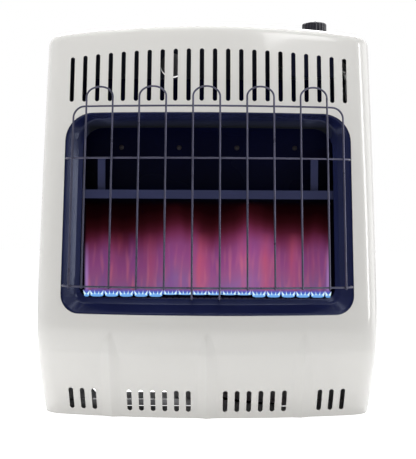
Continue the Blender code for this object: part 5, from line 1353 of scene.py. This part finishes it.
def stage_world(settings):
    """White to the eye, an even light, and to gloss a room that is dim in front and brighter at the right."""
    world = bpy.data.worlds.new("Studio")
    world.use_nodes = True
    tree = world.node_tree
    even = tree.nodes["Background"]
    fill(tree, even, Color=WHITE, Strength=settings.ambient)
    rays = add_node(tree, "ShaderNodeLightPath").outputs
    where = axes(tree, add_node(tree, "ShaderNodeTexCoord").outputs["Generated"])
    room = ranged(tree, where["Y"], -0.45, 0.35, low=0.12)
    window = ranged(tree, where["X"], 0.25, 0.70, high=0.6)
    around = maths(tree, "ADD", room, window, clamp=True)
    mirrored = add_node(tree, "ShaderNodeBackground", Color=around, Strength=1.0)
    seen = add_node(tree, "ShaderNodeBackground", Color=WHITE, Strength=1.0)
    straight = maths(tree, "MAXIMUM", rays["Is Camera Ray"], rays["Is Transmission Ray"])
    gloss = mixed_shaders(tree, rays["Is Glossy Ray"], even, mirrored)
    eye = mixed_shaders(tree, straight, gloss, seen)
    fill(tree, tree.nodes["World Output"], Surface=eye.outputs[0])
    bpy.context.scene.world = world


def floor_finish(settings):
    """Lit white table: white to the eye but for a faint shadow, and a soft light from below."""
    made, shader, _ = blank_material("White table")
    if shader:
        tree = made.node_tree
        tree.nodes.remove(shader)
        seen = add_node(tree, "ShaderNodeLightPath").outputs["Is Camera Ray"]
        lift = ranged(tree, seen, 0.0, 1.0, settings.glow, settings.table)
        matt = add_node(tree, "ShaderNodeBsdfDiffuse", Color=(0.8, 0.8, 0.8, 1))
        light = add_node(tree, "ShaderNodeEmission", Color=WHITE, Strength=lift)
        both = add_node(tree, "ShaderNodeAddShader")
        for index, part in enumerate((matt, light)):
            tree.links.new(part.outputs[0], both.inputs[index])
        fill(tree, tree.nodes["Material Output"], Surface=both.outputs[0])
    return made


def add_softbox(name, place, aim, width, height, watts, mirrored, lights):
    """A rectangular lamp that points at aim: mirrored in gloss, lighting matt surfaces, or both."""
    clear(name)
    lamp = bpy.data.lights.new(name, "AREA")
    lamp.shape = "RECTANGLE"
    lamp.size = width
    lamp.size_y = height
    lamp.energy = watts
    holder = bpy.data.objects.new(name, lamp)
    bpy.context.scene.collection.objects.link(holder)
    turn = (Vector(aim) - Vector(place)).to_track_quat("-Z", "Y").to_matrix().to_4x4()
    holder.matrix_world = Matrix.Translation(place) @ turn
    holder.visible_camera = False
    holder.visible_glossy = mirrored
    holder.visible_diffuse = lights


# Name, place, aim, width, height, power setting, whether gloss mirrors it and whether it lights matt surfaces
SOFTBOXES = (
    ("left_box", (-1.3, -0.45, 0.6), (0.0, 0.0, 0.32), 1.5, 1.9, "left_power", False, True),
    ("right_strip", (1.4, -0.28, 0.70), (-0.2, -0.03, 0.30), 0.20, 1.0, "right_power", True, False),
    ("fold_strip", (0.0, -0.05, 1.9), (0.0, -0.1, 0.2), 1.2, 0.14, "fold_power", True, False),
    ("high_box", (0.88, -1.38, 1.86), (0.15, 0.0, 0.60), 0.75, 0.4, "high_power", True, True),
    ("rim_box", (1.35, 0.42, 0.5), (0.27, 0.0, 0.34), 0.7, 1.2, "rim_power", True, True),
    ("top_box", (0.0, -0.25, 1.8), (0.0, 0.0, 0.4), 1.3, 0.8, "top_power", False, True),
    ("back_box", (0.0, 0.9, 1.5), (0.0, 0.0, 0.6), 1.6, 0.5, "back_power", True, True),
)
PHOTO_HEIGHT = 459
PHOTO_FOCAL = 1058
PHOTO_RISE = 23.5
SENSOR = 36


def make_stage(settings):
    clear("stage_floor")
    shape = bmesh.new()
    bmesh.ops.create_grid(shape, x_segments=1, y_segments=1, size=6.0)
    mesh = bpy.data.meshes.new("stage_floor")
    shape.to_mesh(mesh)
    shape.free()
    floor = bpy.data.objects.new("stage_floor", mesh)
    bpy.context.scene.collection.objects.link(floor)
    mesh.materials.append(floor_finish(settings))
    stage_world(settings)
    for name, place, aim, width, height, source, mirrored, lights in SOFTBOXES:
        add_softbox(name, place, aim, width, height, getattr(settings, source), mirrored, lights)
    clear("camera")
    camera = bpy.data.cameras.new("camera")
    camera.sensor_fit = "VERTICAL"
    camera.sensor_height = SENSOR
    camera.lens = PHOTO_FOCAL * SENSOR / PHOTO_HEIGHT
    holder = bpy.data.objects.new("camera", camera)
    bpy.context.scene.collection.objects.link(holder)
    pitch = math.atan(PHOTO_RISE / PHOTO_FOCAL)
    turn = Matrix.Rotation(math.pi / 2 - pitch, 4, "X") @ Matrix.Rotation(settings.roll, 4, "Z")
    holder.matrix_world = Matrix.Translation((0.0006, -settings.eye_distance, settings.eye_height)) @ turn
    bpy.context.scene.camera = holder
    bpy.context.scene.view_settings.view_transform = "Standard"


# Operators

class PieceOperator:
    bl_options = {"REGISTER", "UNDO"}

    def execute(self, context):
        self.make(context.scene)
        return {"FINISHED"}


class HEATER_OT_make_casing(PieceOperator, Operator):
    """Makes the white casing with its slots, window and ribs"""
    bl_idname = "heater.make_casing"
    bl_label = "Make casing"

    def make(self, scene):
        settings = scene.heater_casing
        mesh = make_casing(settings)
        add_piece("front_casing_shell", mesh, white_enamel(settings), ["front_casing"])


class HEATER_OT_make_trim(PieceOperator, Operator):
    """Makes the dark frame in the window"""
    bl_idname = "heater.make_trim"
    bl_label = "Make window trim"

    def make(self, scene):
        settings = scene.heater_trim
        mesh = make_trim(settings, CasingSurface(scene.heater_casing))
        add_piece("window_trim_frame", mesh, navy_enamel(settings), ["window_trim"])


class HEATER_OT_make_guard(PieceOperator, Operator):
    """Makes the wire guard and its weld beads"""
    bl_idname = "heater.make_guard"
    bl_label = "Make wire guard"

    def make(self, scene):
        settings = scene.heater_guard
        surface = CasingSurface(scene.heater_casing)
        finish = guard_wire(settings)
        for node, route in guard_routes(settings, surface).items():
            mesh = wire_mesh(node + "_wire", route, settings.wire, settings.sides)
            add_piece(node + "_wire", mesh, finish, [node])
        add_piece("guard_welds", make_welds(settings, surface), finish)


class HEATER_OT_make_knob(PieceOperator, Operator):
    """Makes the ribbed control knob"""
    bl_idname = "heater.make_knob"
    bl_label = "Make knob"

    def make(self, scene):
        settings = scene.heater_knob
        mesh, finish = make_knob(settings), black_plastic(settings)
        add_piece("control_knob_ribbed", mesh, finish, ["control_knob"], "knob")


class HEATER_OT_make_screws(PieceOperator, Operator):
    """Makes the cross-head screws of the firebox and the casing"""
    bl_idname = "heater.make_screws"
    bl_label = "Make screws"

    def make(self, scene):
        source = screw_mesh()
        for number in range(1, 5):
            for node, finish in ((f"firebox_screw_{number}", "Blued steel"), (f"casing_screw_{number}", "Zinc plate")):
                low, high = (Vector(corner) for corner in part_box(node))
                middle = (low + high) / 2
                mesh = source.copy()
                if node.startswith("firebox"):
                    place = Matrix.Translation((middle.x, low.y + SCREW_HEAD, middle.z))
                    place = place @ Matrix.Rotation(math.pi / 2, 4, "X")
                else:
                    sign = 1 if middle.x > 0 else -1
                    outer = high.x if sign > 0 else low.x
                    place = Matrix.Translation((outer - sign * SCREW_HEAD, middle.y, middle.z))
                    place = place @ Matrix.Rotation(sign * math.pi / 2, 4, "Y")
                mesh.transform(place @ Matrix.Rotation(0.7 * number, 4, "Z"))
                add_piece(node + "_head", mesh, plain_finish(finish), [node])
        bpy.data.meshes.remove(source)


GAS_PARTS = (
    ("Cast alloy", "cast_aluminium", (("gas_valve_body", 0.0006), ("regulator_body", 0.0004))),
    ("Black plastic", "black_plastic", (("regulator_cap", 0.0004), ("igniter_body", 0.0003), ("igniter_button", 0.0))),
    ("Zinc plate", "bright_steel", (("igniter_nut", 0.0003), ("valve_plug", 0.0002), ("valve_spindle", 0.0))),
    ("Brass", "brass",
     (("gas_injector", 0.0), ("injector_holder", 0.0), ("pilot_burner", 0.0), ("inlet_fitting", 0.0))),
    ("Drawn alloy tube", "aluminium_tube", (("inlet_pipe", 0.0), ("burner_pipe", 0.0), ("pilot_tube", 0.0))),
    ("Copper", "copper",
     (("thermocouple", 0.0), ("thermocouple_lead", 0.0), ("thermostat_bulb", 0.0), ("capillary_tube", 0.0))),
    ("Glazed ceramic", "ceramic", (("spark_electrode", 0.0),)),
    ("Silicone cable", "cable_cover", (("ignition_cable", 0.0),)),
)


def dress_solids(rows, finish):
    """Softened copies of solids, all in one finish; each row is (node, bevel)."""
    for node, bevel in rows:
        add_piece(node + "_soft", softened(node, bevel), finish, [node], BODY_OF[node])


class HEATER_OT_make_firebox(PieceOperator, Operator):
    """Makes the firebox sheets, the baffle and the burner"""
    bl_idname = "heater.make_firebox"
    bl_label = "Make firebox"

    def make(self, scene):
        trim = scene.heater_trim
        walls = ("firebox_back", "firebox_side_left", "firebox_side_right")
        dress_solids([(node, 0.0003) for node in walls], firebox_enamel(trim))
        shelves = ("baffle", "burner_shelf", "valve_bracket")
        dress_solids([(node, 0.0003) for node in shelves], shelf_enamel(trim))
        dress_solids([("burner_tube", 0.0004), ("mixer_tube", 0.0)], plain_finish("Burner coat"))


class HEATER_OT_make_panels(PieceOperator, Operator):
    """Makes the galvanised rear panel, floor pan and brackets"""
    bl_idname = "heater.make_panels"
    bl_label = "Make galvanised sheets"

    def make(self, scene):
        sheets = ("rear_panel", "burner_bracket_left", "burner_bracket_right", "pilot_bracket", "bulb_clip")
        dress_solids([(node, 0.00025) for node in sheets], galvanised())
        dress_solids([("floor_pan", 0.00025)], zinc_with_painted_light())
        add_piece("rear_panel_flap", rear_panel_flap(), zinc_with_painted_light())


class HEATER_OT_make_gas_parts(PieceOperator, Operator):
    """Makes the valve, regulator, pilot, igniter, pipes and leads"""
    bl_idname = "heater.make_gas_parts"
    bl_label = "Make gas parts"

    def make(self, scene):
        black_plastic(scene.heater_knob)
        for name, slot, rows in GAS_PARTS:
            finish = bpy.data.materials.get(name) or plain_finish(name)
            dress_solids(rows, finish)


class HEATER_OT_make_flames(PieceOperator, Operator):
    """Makes the glow and the blue crowns of flame over the burner"""
    bl_idname = "heater.make_flames"
    bl_label = "Make flames"

    def make(self, scene):
        settings = scene.heater_flames
        add_piece("flame_curtain", flame_curtain(settings), glow_finish(settings))
        add_piece("flame_mantle", flame_mantle(settings), mantle_finish(settings))
        add_piece("flame_feet", flame_feet(settings), feet_finish(settings))
        add_piece("flame_threads", flame_threads(settings), thread_finish(settings))


class HEATER_OT_make_stage(PieceOperator, Operator):
    """Sets the floor, the light and the camera"""
    bl_idname = "heater.make_stage"
    bl_label = "Set the stage"

    def make(self, scene):
        make_stage(scene.heater_stage)


STEPS = (
    HEATER_OT_make_stage, HEATER_OT_make_casing, HEATER_OT_make_trim, HEATER_OT_make_guard, HEATER_OT_make_knob,
    HEATER_OT_make_screws, HEATER_OT_make_firebox, HEATER_OT_make_panels, HEATER_OT_make_gas_parts,
    HEATER_OT_make_flames,
)
GROUPS = {
    "heater_casing": CasingSettings, "heater_trim": TrimSettings, "heater_guard": GuardSettings,
    "heater_knob": KnobSettings, "heater_flames": FlameSettings, "heater_stage": StageSettings,
}


class HEATER_PT_sidebar(Panel):
    """Settings and steps of the heater"""
    bl_idname = "HEATER_PT_sidebar"
    bl_label = "Vent-free heater"
    bl_space_type = "VIEW_3D"
    bl_region_type = "UI"
    bl_category = "Heater"

    def draw(self, context):
        for attribute, group in GROUPS.items():
            box = self.layout.box()
            box.label(text=group.__doc__)
            for name in group.__annotations__:
                box.prop(getattr(context.scene, attribute), name)
        for step in STEPS:
            self.layout.operator(step.bl_idname)


def register():
    for group in GROUPS.values():
        bpy.utils.register_class(group)
    for step in STEPS:
        bpy.utils.register_class(step)
    bpy.utils.register_class(HEATER_PT_sidebar)
    for attribute, group in GROUPS.items():
        setattr(bpy.types.Scene, attribute, PointerProperty(type=group))


def unregister():
    for attribute in GROUPS:
        delattr(bpy.types.Scene, attribute)
    bpy.utils.unregister_class(HEATER_PT_sidebar)
    for step in reversed(STEPS):
        bpy.utils.unregister_class(step)
    for group in reversed(GROUPS.values()):
        bpy.utils.unregister_class(group)


def main():
    register()
    for step in STEPS:
        name = step.bl_idname.split(".")[1]
        getattr(bpy.ops.heater, name)()


if __name__ == "__main__":
    main()
